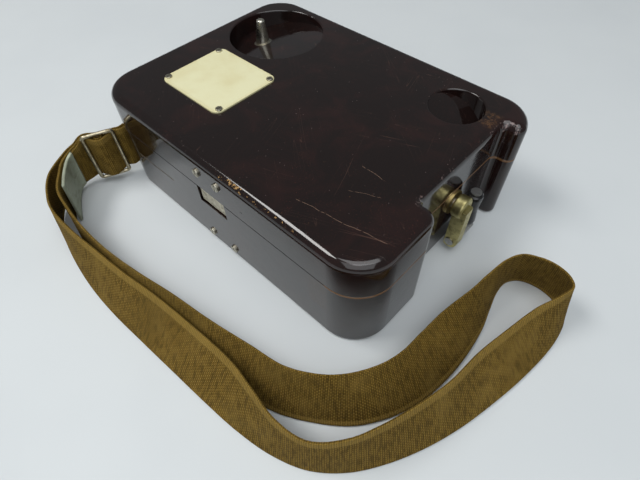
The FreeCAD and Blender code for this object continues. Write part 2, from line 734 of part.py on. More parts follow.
def knuckle_spans(first):
    """The stretches of hinge barrel that belong to one leaf."""
    pitch = HINGE_LENGTH / HINGE_KNUCKLES
    start = HINGE_X - HINGE_LENGTH / 2
    gap = HINGE_KNUCKLE_GAP / 2
    return [(start + i * pitch + gap, start + (i + 1) * pitch - gap)
            for i in range(first, HINGE_KNUCKLES, 2)]


def hinge_leaf(side, first):
    """One hinge leaf with its knuckles: side 1 on the lid, -1 on the case."""
    wall_y = FAR_Y
    axis_y = hinge_axis_y()
    x0 = HINGE_X - HINGE_LENGTH / 2
    x1 = HINGE_X + HINGE_LENGTH / 2
    clear = HINGE_BARREL_RADIUS + 0.4
    if side > 0:
        plate = box(x0, x1, wall_y, wall_y + HINGE_LEAF, SEAM_HEIGHT + clear, SEAM_HEIGHT + HINGE_LEAF_UP)
    else:
        plate = box(x0, x1, wall_y, wall_y + HINGE_LEAF, SEAM_HEIGHT - HINGE_LEAF_DOWN, SEAM_HEIGHT - clear)
    pieces = [plate]
    for a, b in knuckle_spans(first):
        pieces.append(rod((a, axis_y, SEAM_HEIGHT), X_AXIS, HINGE_BARREL_RADIUS, b - a))
        low = min(SEAM_HEIGHT, SEAM_HEIGHT + side * (clear + 0.5))
        web_y = wall_y + HINGE_AXIS_GAP
        pieces.append(box(a, b, web_y, web_y + HINGE_LEAF, low, low + clear + 0.5))
    leaf = fused(pieces)
    bore = rod((x0 - 1, axis_y, SEAM_HEIGHT), X_AXIS, HINGE_PIN_RADIUS + HINGE_PIN_FIT, HINGE_LENGTH + 2)
    leaf = leaf.cut(bore)
    for x in hinge_screw_places():
        hole = rod((x, wall_y - 1, hinge_screw_height(side)), Y_AXIS, SMALL_SHANK_RADIUS + SCREW_GAP, 5)
        leaf = leaf.cut(hole)
    return leaf


def hinge_pin():
    """The steel pin through the knuckles."""
    return rod((HINGE_X - HINGE_LENGTH / 2, hinge_axis_y(), SEAM_HEIGHT), X_AXIS,
               HINGE_PIN_RADIUS, HINGE_LENGTH)


def hinge_screws(side):
    """Three screws through one hinge leaf."""
    y = FAR_Y + HINGE_LEAF
    return [slotted_screw(x, y, hinge_screw_height(side), Y_AXIS, SMALL_HEAD_RADIUS,
                          SMALL_HEAD_HEIGHT, SMALL_SHANK_RADIUS, 5) for x in hinge_screw_places()]


def crank_shaft():
    """The crank's shaft through the bay wall, carrying the drive gear."""
    x0 = ARMATURE_X0 + ARMATURE_LENGTH + 0.4
    return rod((x0, SHAFT_Y, SHAFT_Z), X_AXIS, SHAFT_RADIUS, ARM_INNER_X - x0)


def shaft_bush():
    """The bearing bush in the bay wall."""
    x0 = BAY_X - WALL
    body = rod((x0, SHAFT_Y, SHAFT_Z), X_AXIS, BUSH_RADIUS - 0.05, WALL)
    flange = rod((BAY_X, SHAFT_Y, SHAFT_Z), X_AXIS, BUSH_RADIUS + 2.5, 1.5)
    bore = rod((x0 - 1, SHAFT_Y, SHAFT_Z), X_AXIS, SHAFT_RADIUS + SHAFT_FIT, WALL + 8)
    return fused([body, flange]).cut(bore)


def pivot_height():
    """Height of the grip's pivot below the shaft when the crank hangs down."""
    return SHAFT_Z - ARM_REACH


def pivot_x():
    """How far out the grip's pivot lies."""
    return (ARM_INNER_X + ARM_OUTER_X) / 2 - 0.8


def crank_arm():
    """The brass arm: a hub, a bar with bevelled edges and a rounded end."""
    half = ARM_WIDTH / 2
    hub = rod((ARM_INNER_X - HUB_BACK, SHAFT_Y, SHAFT_Z), X_AXIS, HUB_RADIUS, HUB_LENGTH)
    rims = [e for e in hub.Edges if abs(e.Length - 2 * math.pi * HUB_RADIUS) < 0.01]
    hub = hub.makeFillet(HUB_EDGE_RADIUS, rims)
    bar = box(ARM_INNER_X, ARM_OUTER_X, SHAFT_Y - half, SHAFT_Y + half, pivot_height(), SHAFT_Z)
    end = rod((pivot_x(), SHAFT_Y - half, pivot_height()), Y_AXIS, ARM_END_RADIUS, ARM_WIDTH)
    trim = box(ARM_INNER_X, ARM_OUTER_X, SHAFT_Y - half, SHAFT_Y + half, 0, SHAFT_Z)
    arm = fused([bar, end.common(trim)])
    arm = arm.makeChamfer(1.0, edges_where(arm, lambda p: p.x > ARM_OUTER_X - 0.01
                                           and abs(abs(p.y - SHAFT_Y) - half) < 0.01))
    arm = fused([arm, hub])
    arm = arm.cut(rod((ARM_INNER_X - 3, SHAFT_Y, SHAFT_Z), X_AXIS, SHAFT_RADIUS + 0.01, 3))
    pin_hole = rod((pivot_x(), SHAFT_Y - half - 1, pivot_height()), Y_AXIS, PIVOT_RADIUS + 0.02, ARM_WIDTH + 2)
    return arm.cut(pin_hole)


def grip_pivot_pin():
    """The pin, fast in the arm, on which the grip folds."""
    half = ARM_WIDTH / 2
    length = ARM_WIDTH + GRIP_OFFSET - half + EYE_RADIUS + 1
    pin = rod((pivot_x(), SHAFT_Y - half, pivot_height()), Y_AXIS, PIVOT_RADIUS, length)
    head = rod((pivot_x(), SHAFT_Y - half - 1, pivot_height()), Y_AXIS, PIVOT_RADIUS + 1.2, 1)
    return fused([pin, head])


def grip_y():
    """Y of the grip's own axis."""
    return SHAFT_Y + GRIP_OFFSET


def grip_spindle():
    """The fork eye and spindle that carry the grip, folded along the arm."""
    half = ARM_WIDTH / 2
    eye_y0 = SHAFT_Y + half + 0.3
    eye_len = grip_y() + EYE_RADIUS - 0.6 - eye_y0
    eye = rod((pivot_x(), eye_y0, pivot_height()), Y_AXIS, EYE_RADIUS, eye_len)
    spindle = rod((pivot_x(), grip_y(), pivot_height()), Z_AXIS, SPINDLE_RADIUS, GRIP_LENGTH + EYE_RADIUS + 1.4)
    cap = rod((pivot_x(), grip_y(), pivot_height() + EYE_RADIUS + 0.6 + GRIP_LENGTH + 0.4), Z_AXIS,
              SPINDLE_RADIUS + 1.4, 1.2)
    body = fused([eye, spindle, cap])
    return body.cut(rod((pivot_x(), eye_y0 - 1, pivot_height()), Y_AXIS, PIVOT_RADIUS + PIVOT_FIT, eye_len + 2))


def crank_grip():
    """The black turning sleeve of the crank, slightly waisted."""
    z0 = pivot_height() + EYE_RADIUS + 0.6
    z1 = z0 + GRIP_LENGTH
    bore = SPINDLE_RADIUS + GRIP_BORE_FIT
    r = GRIP_RADIUS
    profile = [(bore, z0), (r - 1.2, z0), (r - 0.3, z0 + 1), (r, z0 + 3), (r - 0.9, z0 + GRIP_LENGTH * 0.5),
               (r, z1 - 3), (r - 0.3, z1 - 1), (r - 1.2, z1), (bore, z1)]
    return revolved(profile, (pivot_x(), grip_y()))


def involute_angle(base_radius, radius):
    """The involute function at a radius."""
    if radius <= base_radius:
        return 0.0
    press = math.acos(base_radius / radius)
    return math.tan(press) - press


def spur_gear(teeth, bore, x0, centre_y, centre_z, turn):
    """A spur gear on an X axis with involute teeth."""
    pitch_r = GEAR_MODULE * teeth / 2
    base_r = pitch_r * math.cos(math.radians(PRESSURE_ANGLE))
    root_r = pitch_r - 1.2 * GEAR_MODULE
    tip_r = pitch_r + 0.9 * GEAR_MODULE
    half = math.pi / (2 * teeth) - GEAR_BACKLASH / (2 * pitch_r) + involute_angle(base_r, pitch_r)
    flank_radii = [max(root_r, 0.01)]
    start = max(base_r, root_r)
    flank_radii += [start + (tip_r - start) * i / 3 for i in range(4)]
    points = []
    for tooth in range(teeth):
        middle = turn + 2 * math.pi * tooth / teeth
        for side, radii in ((-1, flank_radii), (1, list(reversed(flank_radii)))):
            for radius in radii:
                angle = middle + side * (half - involute_angle(base_r, radius))
                points.append((x0, centre_y + radius * math.cos(angle), centre_z + radius * math.sin(angle)))
    blank = prism(points, V(GEAR_THICKNESS, 0, 0))
    return blank.cut(rod((x0 - 1, centre_y, centre_z), X_AXIS, bore, GEAR_THICKNESS + 2))


def centre_distance():
    """Distance between the two gear shafts."""
    return GEAR_MODULE * (DRIVE_TEETH + PINION_TEETH) / 2


def armature_z():
    """Height of the armature's axis."""
    return SHAFT_Z - centre_distance()


def drive_gear():
    """The large gear on the crank shaft, a tooth pointing down."""
    return spur_gear(DRIVE_TEETH, SHAFT_RADIUS + 0.01, GEAR_X, SHAFT_Y, SHAFT_Z, -math.pi / 2)


def armature_pinion():
    """The small gear on the armature, a gap pointing up."""
    turn = math.pi / 2 + math.pi / PINION_TEETH
    return spur_gear(PINION_TEETH, 2.01, GEAR_X, SHAFT_Y, armature_z(), turn)


def armature():
    """The magneto's shuttle armature: an H section core, its winding and shaft."""
    z = armature_z()
    x1 = ARMATURE_X0 + ARMATURE_LENGTH
    core = rod((ARMATURE_X0, SHAFT_Y, z), X_AXIS, ARMATURE_RADIUS, ARMATURE_LENGTH)
    for side in (-1, 1):
        y0 = SHAFT_Y + side * 3.5
        y1 = SHAFT_Y + side * 14
        core = core.cut(box(ARMATURE_X0 - 1, x1 + 1, min(y0, y1), max(y0, y1), z - 6.5, z + 6.5))
    shaft = rod((ARMATURE_X0 - 8, SHAFT_Y, z), X_AXIS, 2.0, GEAR_X + GEAR_THICKNESS - ARMATURE_X0 + 8)
    return fused([core, shaft])


def armature_winding():
    """The coil wound in the armature's two slots."""
    z = armature_z()
    coils = []
    for side in (-1, 1):
        y0 = SHAFT_Y + side * 3.7
        y1 = SHAFT_Y + side * 7.6
        block = rounded_slab(ARMATURE_X0 + 1, ARMATURE_X0 + ARMATURE_LENGTH - 1, min(y0, y1),
                             max(y0, y1), z - 6.0, z + 6.0, 1.2)
        coils.append(block)
    return coils


def magnets():
    """Four horseshoe magnets side by side over the pole shoes."""
    z = armature_z()
    found = []
    pitch = ARMATURE_LENGTH / MAGNET_COUNT
    y0 = SHAFT_Y - ARMATURE_RADIUS - 3
    for i in range(MAGNET_COUNT):
        x0 = ARMATURE_X0 + i * pitch + (pitch - MAGNET_THICKNESS) / 2
        bow = SHAFT_Y + MAGNET_REACH
        outer = fused([box(x0, x0 + MAGNET_THICKNESS, y0, bow, z - MAGNET_OUTER, z + MAGNET_OUTER),
                       rod((x0, bow, z), X_AXIS, MAGNET_OUTER, MAGNET_THICKNESS)])
        inner = fused([box(x0 - 1, x0 + MAGNET_THICKNESS + 1, y0 - 1, bow, z - MAGNET_INNER, z + MAGNET_INNER),
                       rod((x0 - 1, bow, z), X_AXIS, MAGNET_INNER, MAGNET_THICKNESS + 2)])
        found.append(outer.cut(inner))
    return found


def pole_shoes():
    """Two iron shoes that close round the armature."""
    z = armature_z()
    x1 = ARMATURE_X0 + ARMATURE_LENGTH
    block = box(ARMATURE_X0, x1, SHAFT_Y - ARMATURE_RADIUS - 2, SHAFT_Y + ARMATURE_RADIUS + 2,
                z - MAGNET_INNER, z + MAGNET_INNER)
    block = block.cut(rod((ARMATURE_X0 - 1, SHAFT_Y, z), X_AXIS, ARMATURE_RADIUS + ARMATURE_GAP,
                          ARMATURE_LENGTH + 2))
    block = block.cut(box(ARMATURE_X0 - 1, x1 + 1, SHAFT_Y - 20, SHAFT_Y + 20, z - 5, z + 5))
    return block.Solids


def magneto_frame():
    """Two brass end plates with bearings and feet on the case floor."""
    z = armature_z()
    plates = []
    ends = ((ARMATURE_X0 - END_PLATE_THICKNESS - 0.4, z + 12.0),
            (ARMATURE_X0 + ARMATURE_LENGTH + 0.4, SHAFT_Z + SHAFT_RADIUS + 4.0))
    for x, top in ends:
        plate = box(x, x + END_PLATE_THICKNESS, SHAFT_Y - 14, SHAFT_Y + 14, FLOOR_THICKNESS, top)
        plate = softened(plate, 8.0, lambda p: p.z > top - 0.01 and abs(p.y - SHAFT_Y) > 13.9)
        foot = box(x, x + 10, SHAFT_Y - 14, SHAFT_Y + 14, FLOOR_THICKNESS, FLOOR_THICKNESS + 2.5)
        if x < ARMATURE_X0:
            foot.translate(V(END_PLATE_THICKNESS - 10, 0, 0))
        plate = plate.fuse(foot)
        plate = plate.cut(rod((x - 1, SHAFT_Y, z), X_AXIS, 2.0 + SHAFT_FIT, END_PLATE_THICKNESS + 2))
        bore = rod((x - 1, SHAFT_Y, SHAFT_Z), X_AXIS, SHAFT_RADIUS + SHAFT_FIT, END_PLATE_THICKNESS + 2)
        plates.append(plate.cut(bore))
    return plates


def gong_room():
    """The near and far ends of the room across the case that the gongs share."""
    return (DECK_NEAR_Y + SKIRT_THICKNESS, FAR_Y - WALL)


def gong_radius():
    """Both gongs as large as their room allows."""
    near, far = gong_room()
    return (far - near - GONG_SPARE) / 4


def gong_places():
    """Distances across the case of the near and the far gong."""
    near, far = gong_room()
    return (near + GONG_NEAR_GAP + gong_radius(), far - GONG_FAR_GAP - gong_radius())


def gong(y):
    """One bell of the ringer: a domed cup with a rolled rim, on a post."""
    z0 = GONG_LOW_Z
    z1 = z0 + GONG_HEIGHT
    r = gong_radius()
    w = GONG_WALL
    profile = [(3, z1 - w), (r * 0.55, z1 - w - 0.6), (r * 0.86 - w, z1 - GONG_HEIGHT * 0.42),
               (r - w, z0), (r, z0), (r * 0.86, z1 - GONG_HEIGHT * 0.3), (r * 0.58, z1 - 0.5), (3, z1)]
    return revolved(profile, (GONG_X, y))


def gong_post(y):
    """The post and nut that carry one gong."""
    foot = FLOOR_THICKNESS
    z1 = GONG_LOW_Z + GONG_HEIGHT
    profile = [(0, foot), (7, foot), (7, foot + 2), (4.5, foot + 2), (4.5, z1 - GONG_WALL - 0.3),
               (2.9, z1 - GONG_WALL - 0.3), (2.9, z1 + 0.05), (4.8, z1 + 0.05), (4.8, z1 + 3), (0, z1 + 3)]
    return revolved(profile, (GONG_X, y))


def ringer_y():
    """The ringer's middle, between the gongs."""
    near, far = gong_places()
    return (near + far) / 2


def gong_half_spacing():
    """Half the distance between the gongs' posts."""
    near, far = gong_places()
    return (far - near) / 2


def ringer_coils():
    """Two coils with their cheeks, side by side along X."""
    found = []
    for y in pair_places(ringer_y(), COIL_SPACING):
        body = rod((COIL_X0, y, COIL_Z), X_AXIS, COIL_RADIUS, COIL_LENGTH)
        cheeks = [rod((x, y, COIL_Z), X_AXIS, COIL_RADIUS + COIL_CHEEK_RISE, COIL_CHEEK)
                  for x in (COIL_X0 - COIL_CHEEK, COIL_X0 + COIL_LENGTH)]
        found.append(fused([body] + cheeks))
    return found


def yoke_half():
    """Half the length of the iron yoke across the case."""
    return gong_half_spacing() - 5


def ringer_yoke():
    """The iron yoke behind the coils, and the clapper's fixed pivot."""
    y = ringer_y()
    half = yoke_half()
    x0 = COIL_X0 + COIL_LENGTH + YOKE_GAP
    back = box(x0, x0 + YOKE_THICKNESS, y - half, y + half, FLOOR_THICKNESS, YOKE_TOP_Z)
    back = softened(back, 2.0, lambda p: p.z > YOKE_TOP_Z - 0.1 and abs(p.y - y) > half - 0.1)
    foot = rod((CLAPPER_X, y, FLOOR_THICKNESS), Z_AXIS, 5, 7)
    pin = rod((CLAPPER_X, y, FLOOR_THICKNESS), Z_AXIS, CLAPPER_PIN_RADIUS, CLAPPER_PIN_HEIGHT)
    return [back, fused([foot, pin])]


def clapper():
    """The armature bar, and the rod and ball that swing between the gongs."""
    y = ringer_y()
    half = gong_half_spacing() - 9
    bar = box(CLAPPER_X - CLAPPER_BAR / 2, CLAPPER_X + CLAPPER_BAR / 2, y - half, y + half,
              CLAPPER_BAR_LOW_Z, CLAPPER_BAR_LOW_Z + CLAPPER_BAR_HEIGHT)
    hub = rod((CLAPPER_X, y, CLAPPER_HUB_LOW_Z), Z_AXIS, CLAPPER_HUB_RADIUS, CLAPPER_HUB_HEIGHT)
    body = fused([bar, hub, clapper_rod()])
    bore = rod((CLAPPER_X, y, CLAPPER_HUB_LOW_Z - 2), Z_AXIS, CLAPPER_PIN_RADIUS + SHAFT_FIT,
               CLAPPER_HUB_HEIGHT + 5)
    return body.cut(bore)


def clapper_rod():
    """The clapper's rod and ball, turned about the rod's own axis."""
    y = ringer_y()
    z = CLAPPER_ROD_Z
    reach = math.sqrt(CLAPPER_BALL_RADIUS ** 2 - CLAPPER_ROD_RADIUS ** 2)
    pole = V(GONG_X - CLAPPER_BALL_RADIUS, y, z)
    crown = V(GONG_X, y, z + CLAPPER_BALL_RADIUS)
    neck = V(GONG_X + reach, y, z + CLAPPER_ROD_RADIUS)
    root = V(CLAPPER_X, y, z + CLAPPER_ROD_RADIUS)
    heart = V(CLAPPER_X, y, z)
    edges = [Part.Arc(pole, crown, neck).toShape(), Part.makeLine(neck, root),
             Part.makeLine(root, heart), Part.makeLine(heart, pole)]
    return Part.Face(Part.Wire(edges)).revolve(heart, X_AXIS, 360)


def battery_cell():
    """The dry cell: a carton block with its two screw terminals."""
    x0 = LEFT_X + 73
    x1 = ARMATURE_X0 - 14
    y0 = DECK_NEAR_Y + 5
    y1 = ringer_y() - yoke_half() - CELL_YOKE_GAP
    block = rounded_slab(x0, x1, y0, y1, FLOOR_THICKNESS + PART_REST_GAP, CELL_TOP_Z, 3.0)
    posts = [rod((x, (y0 + y1) / 2, CELL_TOP_Z - 1), Z_AXIS, r, 5.5)
             for x, r in ((x0 + 12, 4.0), (x1 - 12, 3.0))]
    return fused([block] + posts)


def along_shelf(share):
    """A place at a share of the way from the gongs' right edge to the magneto."""
    start = GONG_X + gong_radius()
    return start + (ARMATURE_X0 - start) * share


def induction_coil():
    """The speech coil: a bobbin with square cheeks."""
    x0 = along_shelf(SPEECH_COIL_START)
    x1 = along_shelf(SPEECH_COIL_END)
    y = FAR_Y - 24
    wall = SPEECH_COIL_CHEEK
    half = SPEECH_COIL_HALF
    body = rod((x0 + wall, y, COIL_Z), X_AXIS, SPEECH_COIL_RADIUS, x1 - x0 - 2 * wall)
    cheeks = [box(x, x + wall, y - half, y + half, FLOOR_THICKNESS, SPEECH_COIL_TOP_Z)
              for x in (x0, x1 - wall)]
    return fused([body] + cheeks)


def condenser():
    """The sealed metal can of the condenser."""
    near = ringer_y() + yoke_half() + 2
    far = FAR_Y - WALL - 2.8
    can = rounded_slab(along_shelf(CONDENSER_START), along_shelf(CONDENSER_END), near, far,
                       FLOOR_THICKNESS + PART_REST_GAP, CONDENSER_TOP_Z, 2.0)
    return softened(can, 1.0, lambda p: p.z > CONDENSER_TOP_Z - 0.01)


def terminal_places():
    """Places of the two line terminals on the deck."""
    return [(x, TERMINAL_Y) for x in pair_places(0.0, TERMINAL_SPACING)]


def terminal_studs():
    """Threaded studs with collars, fast in the deck."""
    found = []
    for x, y in terminal_places():
        stud = rod((x, y, DECK_TOP - DECK_THICKNESS - 3), Z_AXIS, TERMINAL_STUD_RADIUS, 15)
        collar = rod((x, y, DECK_TOP + 0.02), Z_AXIS, 4.2, 1.5)
        nut = rod((x, y, DECK_TOP - DECK_THICKNESS - 2.52), Z_AXIS, 3.6, 2.5)
        found.append(fused([stud, collar, nut]))
    return found


def terminal_nut(x, y):
    """A thumb nut with a ribbed edge."""
    z0 = DECK_TOP + 3.2
    nut = rod((x, y, z0), Z_AXIS, 5.2, 5.5)
    for i in range(12):
        angle = 2 * math.pi * i / 12
        groove = rod((x + 5.6 * math.cos(angle), y + 5.6 * math.sin(angle), z0 - 1), Z_AXIS, 0.8, 8)
        nut = nut.cut(groove)
    return nut.cut(rod((x, y, z0 - 1), Z_AXIS, TERMINAL_STUD_RADIUS + 0.05, 12))


def hook_contacts():
    """The contact leaves that the plunger's stem presses, on an ebonite block."""
    x = PLUNGER_X
    block = box(x + 14, x + 24, PLUNGER_Y - 6, PLUNGER_Y + 6, DECK_TOP, DECK_TOP + 5)
    leaf = box(x - 5, x + 16, PLUNGER_Y - 3, PLUNGER_Y + 3, DECK_TOP + 1.2, DECK_TOP + 1.7)
    return fused([block, leaf])


def ear_cap():
    """The receiver cap, face down in the bay."""
    z0 = HANDSET_BASE_Z
    r = EAR_CAP_RADIUS
    h = EAR_CAP_HEIGHT
    profile = [(0, z0 + 3), (8, z0 + 3), (12, z0 + 1), (r - 6, z0), (r - 2, z0 + 0.8), (r, z0 + 3),
               (r, z0 + h), (r - 3, z0 + h), (0, z0 + h)]
    cap = revolved(profile, (HANDSET_EAR_X, HANDSET_Y))
    for i in range(6):
        angle = math.pi * i / 3
        hole = rod((HANDSET_EAR_X + 5 * math.cos(angle), HANDSET_Y + 5 * math.sin(angle), z0 - 1), Z_AXIS, 1.2, 8)
        cap = cap.cut(hole)
    return cap


def mouth_cap():
    """The transmitter cap, face down in the bay."""
    z0 = HANDSET_BASE_Z
    r = MOUTH_CAP_RADIUS
    h = MOUTH_CAP_HEIGHT
    profile = [(0, z0 + 1.5), (r - 8, z0 + 1.5), (r - 5, z0), (r - 1.5, z0), (r, z0 + 2),
               (r, z0 + h), (0, z0 + h)]
    cap = revolved(profile, (HANDSET_MOUTH_X, HANDSET_Y))
    for i in range(8):
        angle = math.pi * i / 4
        hole = rod((HANDSET_MOUTH_X + 9 * math.cos(angle), HANDSET_Y + 9 * math.sin(angle), z0 - 1), Z_AXIS, 1.3, 6)
        cap = cap.cut(hole)
    return cap


def handset_body():
    """The handle with its two heads, lofted through oval sections."""
    z_ear = HANDSET_BASE_Z + EAR_CAP_HEIGHT
    z_mouth = HANDSET_BASE_Z + MOUTH_CAP_HEIGHT
    ear_head = revolved([(0, z_ear), (EAR_CAP_RADIUS - 1, z_ear), (EAR_CAP_RADIUS - 2, z_ear + 6),
                         (EAR_CAP_RADIUS * 0.6, z_ear + 14), (0, z_ear + 18)], (HANDSET_EAR_X, HANDSET_Y))
    mouth_head = revolved([(0, z_mouth), (MOUTH_CAP_RADIUS - 1, z_mouth), (MOUTH_CAP_RADIUS - 2, z_mouth + 6),
                           (MOUTH_CAP_RADIUS * 0.6, z_mouth + 15), (0, z_mouth + 20)],
                          (HANDSET_MOUTH_X, HANDSET_Y))
    length = HANDSET_MOUTH_X - HANDSET_EAR_X
    stations = [(0.06, 34.0, 26.0), (0.25, HANDLE_WIDTH, HANDLE_HEIGHT), (0.75, HANDLE_WIDTH, HANDLE_HEIGHT),
                (0.94, 32.0, 26.0)]
    rings = []
    for share, width, height in stations:
        x = HANDSET_EAR_X + share * length
        lift = 39.0 + 4.0 * math.sin(math.pi * share)
        ring = Part.Ellipse(V(x, HANDSET_Y, lift), width / 2, height / 2)
        shape = ring.toShape()
        shape.rotate(V(x, HANDSET_Y, lift), Z_AXIS, 90)
        shape.rotate(V(x, HANDSET_Y, lift), Y_AXIS, 90)
        rings.append(Part.Wire([shape]))
    handle = Part.makeLoft(rings, True, False)
    body = fused([ear_head, mouth_head, handle])
    return body.cut(talk_key_slot())


def talk_key_x():
    """Middle of the talk key along the handle."""
    return (HANDSET_EAR_X + HANDSET_MOUTH_X) / 2


def talk_key_slot():
    """The pocket in the handle for the talk key."""
    x = talk_key_x()
    half = TALK_KEY_LENGTH / 2 + 0.5
    wide = TALK_KEY_WIDTH / 2 + 0.5
    return box(x - half, x + half, HANDSET_Y - wide, HANDSET_Y + wide, TALK_KEY_SLOT_Z,
               TALK_KEY_SLOT_Z + 16.5)


def talk_key():
    """The press to talk bar in the handle's back."""
    x = talk_key_x()
    half = TALK_KEY_LENGTH / 2
    wide = TALK_KEY_WIDTH / 2
    z0 = TALK_KEY_SLOT_Z + TALK_KEY_TRAVEL + 0.4
    bar = rounded_slab(x - half, x + half, HANDSET_Y - wide, HANDSET_Y + wide, z0, z0 + 8, 3.5)
    return softened(bar, 1.5, lambda p: p.z > z0 + 7.99)


def strap_bracket():
    """The steel staple on the left end that the webbing passes behind."""
    wall_x = LEFT_X
    bar_x = wall_x - BRACKET_REACH
    low, high = bracket_span()
    pieces = [rod((bar_x, BRACKET_Y, low), Z_AXIS, BRACKET_BAR_RADIUS, high - low)]
    half = BRACKET_BAR_RADIUS + 0.4
    for z, foot in ((low, low - 5), (high, high - 3)):
        z0 = z - half / 2
        pieces.append(box(bar_x - half, wall_x, BRACKET_Y - half, BRACKET_Y + half, z0 - 0.6, z0 + half + 0.6))
        pieces.append(box(wall_x - BRACKET_PLATE, wall_x, BRACKET_Y - BRACKET_FOOT_HALF,
                          BRACKET_Y + BRACKET_FOOT_HALF, foot, foot + BRACKET_FOOT_HEIGHT))
    staple = fused(pieces)
    for z in bracket_screw_heights():
        for y in pair_places(BRACKET_Y, BRACKET_SCREW_SPACING):
            staple = staple.cut(rod((wall_x - 3, y, z), X_AXIS, SMALL_SHANK_RADIUS + SCREW_GAP, 5))
    return staple


def bracket_screws():
    """Four screws through the bracket's feet."""
    x = LEFT_X - BRACKET_PLATE
    return [slotted_screw(x, y, z, -X_AXIS, SMALL_HEAD_RADIUS, SMALL_HEAD_HEIGHT, SMALL_SHANK_RADIUS, 5)
            for z in bracket_screw_heights() for y in pair_places(BRACKET_Y, BRACKET_SCREW_SPACING)]


def slide_point(along, aside):
    """A place by the buckle: along its heading, and aside to the left of it."""
    turn = math.radians(SLIDE_HEADING)
    way = V(math.cos(turn), math.sin(turn), 0)
    left = V(-way.y, way.x, 0)
    place = V(SLIDE_X, SLIDE_Y, 0) + way * along + left * aside
    return (place.x, place.y)


def slide_end():
    """Distance from the buckle's middle bar to an outer bar."""
    return SLIDE_LENGTH / 2


def layer_pitch():
    """Distance between two webbing layers that pass the buckle side by side."""
    return STRAP_THICKNESS + 0.8


def near_layer():
    """How far aside the tail passes an outer bar of the buckle."""
    return SLIDE_WIRE_RADIUS + STRAP_THICKNESS / 2 + 0.6


def ring_middle():
    """Radius of the sewn end's middle round the buckle's middle bar."""
    return SLIDE_WIRE_RADIUS + STRAP_FIT + STRAP_THICKNESS / 2


def over_layer():
    """How far aside the tail passes over the sewn end on the middle bar."""
    return ring_middle() + STRAP_THICKNESS + 0.4


def bracket_loop_radius():
    """Radius of the webbing's middle where it turns round the bracket's bar."""
    return BRACKET_BAR_RADIUS + STRAP_FIT + STRAP_THICKNESS / 2


def strap_slider():
    """The slide buckle: a round wire bent to a frame, with a bar across its middle."""
    low = STRAP_LIFT - SLIDE_SIDE_GAP - SLIDE_WIRE_RADIUS
    high = STRAP_LIFT + STRAP_WIDTH + SLIDE_SIDE_GAP + SLIDE_WIRE_RADIUS
    turn = math.radians(SLIDE_HEADING)
    way = V(math.cos(turn), math.sin(turn), 0)
    middle = V(SLIDE_X, SLIDE_Y, (low + high) / 2)
    along = way * slide_end()
    up = Z_AXIS * ((high - low) / 2)
    bend = SLIDE_BEND_RADIUS
    edges = []
    corners = [middle + along + up, middle - along + up, middle - along - up, middle + along - up]
    for i in range(4):
        before, corner, after = corners[i - 1], corners[i], corners[(i + 1) % 4]
        incoming = (corner - before).normalize()
        outgoing = (after - corner).normalize()
        start = corner - incoming * bend
        end = corner + outgoing * bend
        inside = corner - incoming * bend + outgoing * bend
        crown = inside + (corner - inside).normalize() * bend
        edges.append(Part.Arc(start, crown, end).toShape())
        edges.append(Part.LineSegment(end, after - outgoing * bend).toShape())
    path = Part.Wire(edges)
    ring = Part.Circle(corners[0] - Z_AXIS * bend, Z_AXIS, SLIDE_WIRE_RADIUS)
    frame = path.makePipeShell([Part.Wire([ring.toShape()])], True, False)
    bar = rod((SLIDE_X, SLIDE_Y, low), Z_AXIS, SLIDE_WIRE_RADIUS - SLIDE_BAR_STEP, high - low)
    return fused([frame, bar])


def smooth_route(route, steps):
    """Stations along a smooth curve that passes through every key station."""
    keys = [route[0]] + list(route) + [route[-1]]
    found = []
    for i in range(1, len(keys) - 2):
        for k in range(steps):
            t = k / steps
            found.append(tuple(
                0.5 * (2 * b + (c - a) * t + (2 * a - 5 * b + 4 * c - d) * t ** 2
                       + (3 * b - a - 3 * c + d) * t ** 3)
                for a, b, c, d in zip(*keys[i - 1:i + 3])))
    found.append(tuple(route[-1]))
    return found


def ribbon(route, first, last, steps, thickness, width):
    """Webbing between two key stations of a route of (x, y, z, lean): the middle of
    its lower edge, and its lean in degrees from upright to the left of the way."""
    stations = smooth_route(route, steps)
    end = len(stations) - 1
    rings = []
    for i in range(first * steps, last * steps + 1):
        x, y, z, lean = stations[i]
        before = stations[max(i - 1, 0)]
        after = stations[min(i + 1, end)]
        way = V(after[0] - before[0], after[1] - before[1], 0).normalize()
        left = V(-way.y, way.x, 0)
        angle = math.radians(lean)
        rise = (left * math.sin(angle) + Z_AXIS * math.cos(angle)) * width
        half = (left * math.cos(angle) - Z_AXIS * math.sin(angle)) * (thickness / 2)
        low = V(x, y, z + abs(half.z))
        corners = [low - half, low + half, low + half + rise, low - half + rise]
        rings.append(wire_of([(c.x, c.y, c.z) for c in corners]))
    return Part.makeLoft(rings, True, True)


def by_left(across, ahead):
    """A place on the table from the case's near left corner."""
    return (LEFT_X + across, NEAR_Y + ahead)


def by_right(across, ahead):
    """A place on the table from the case's near right corner."""
    return (RIGHT_X + across, NEAR_Y + ahead)


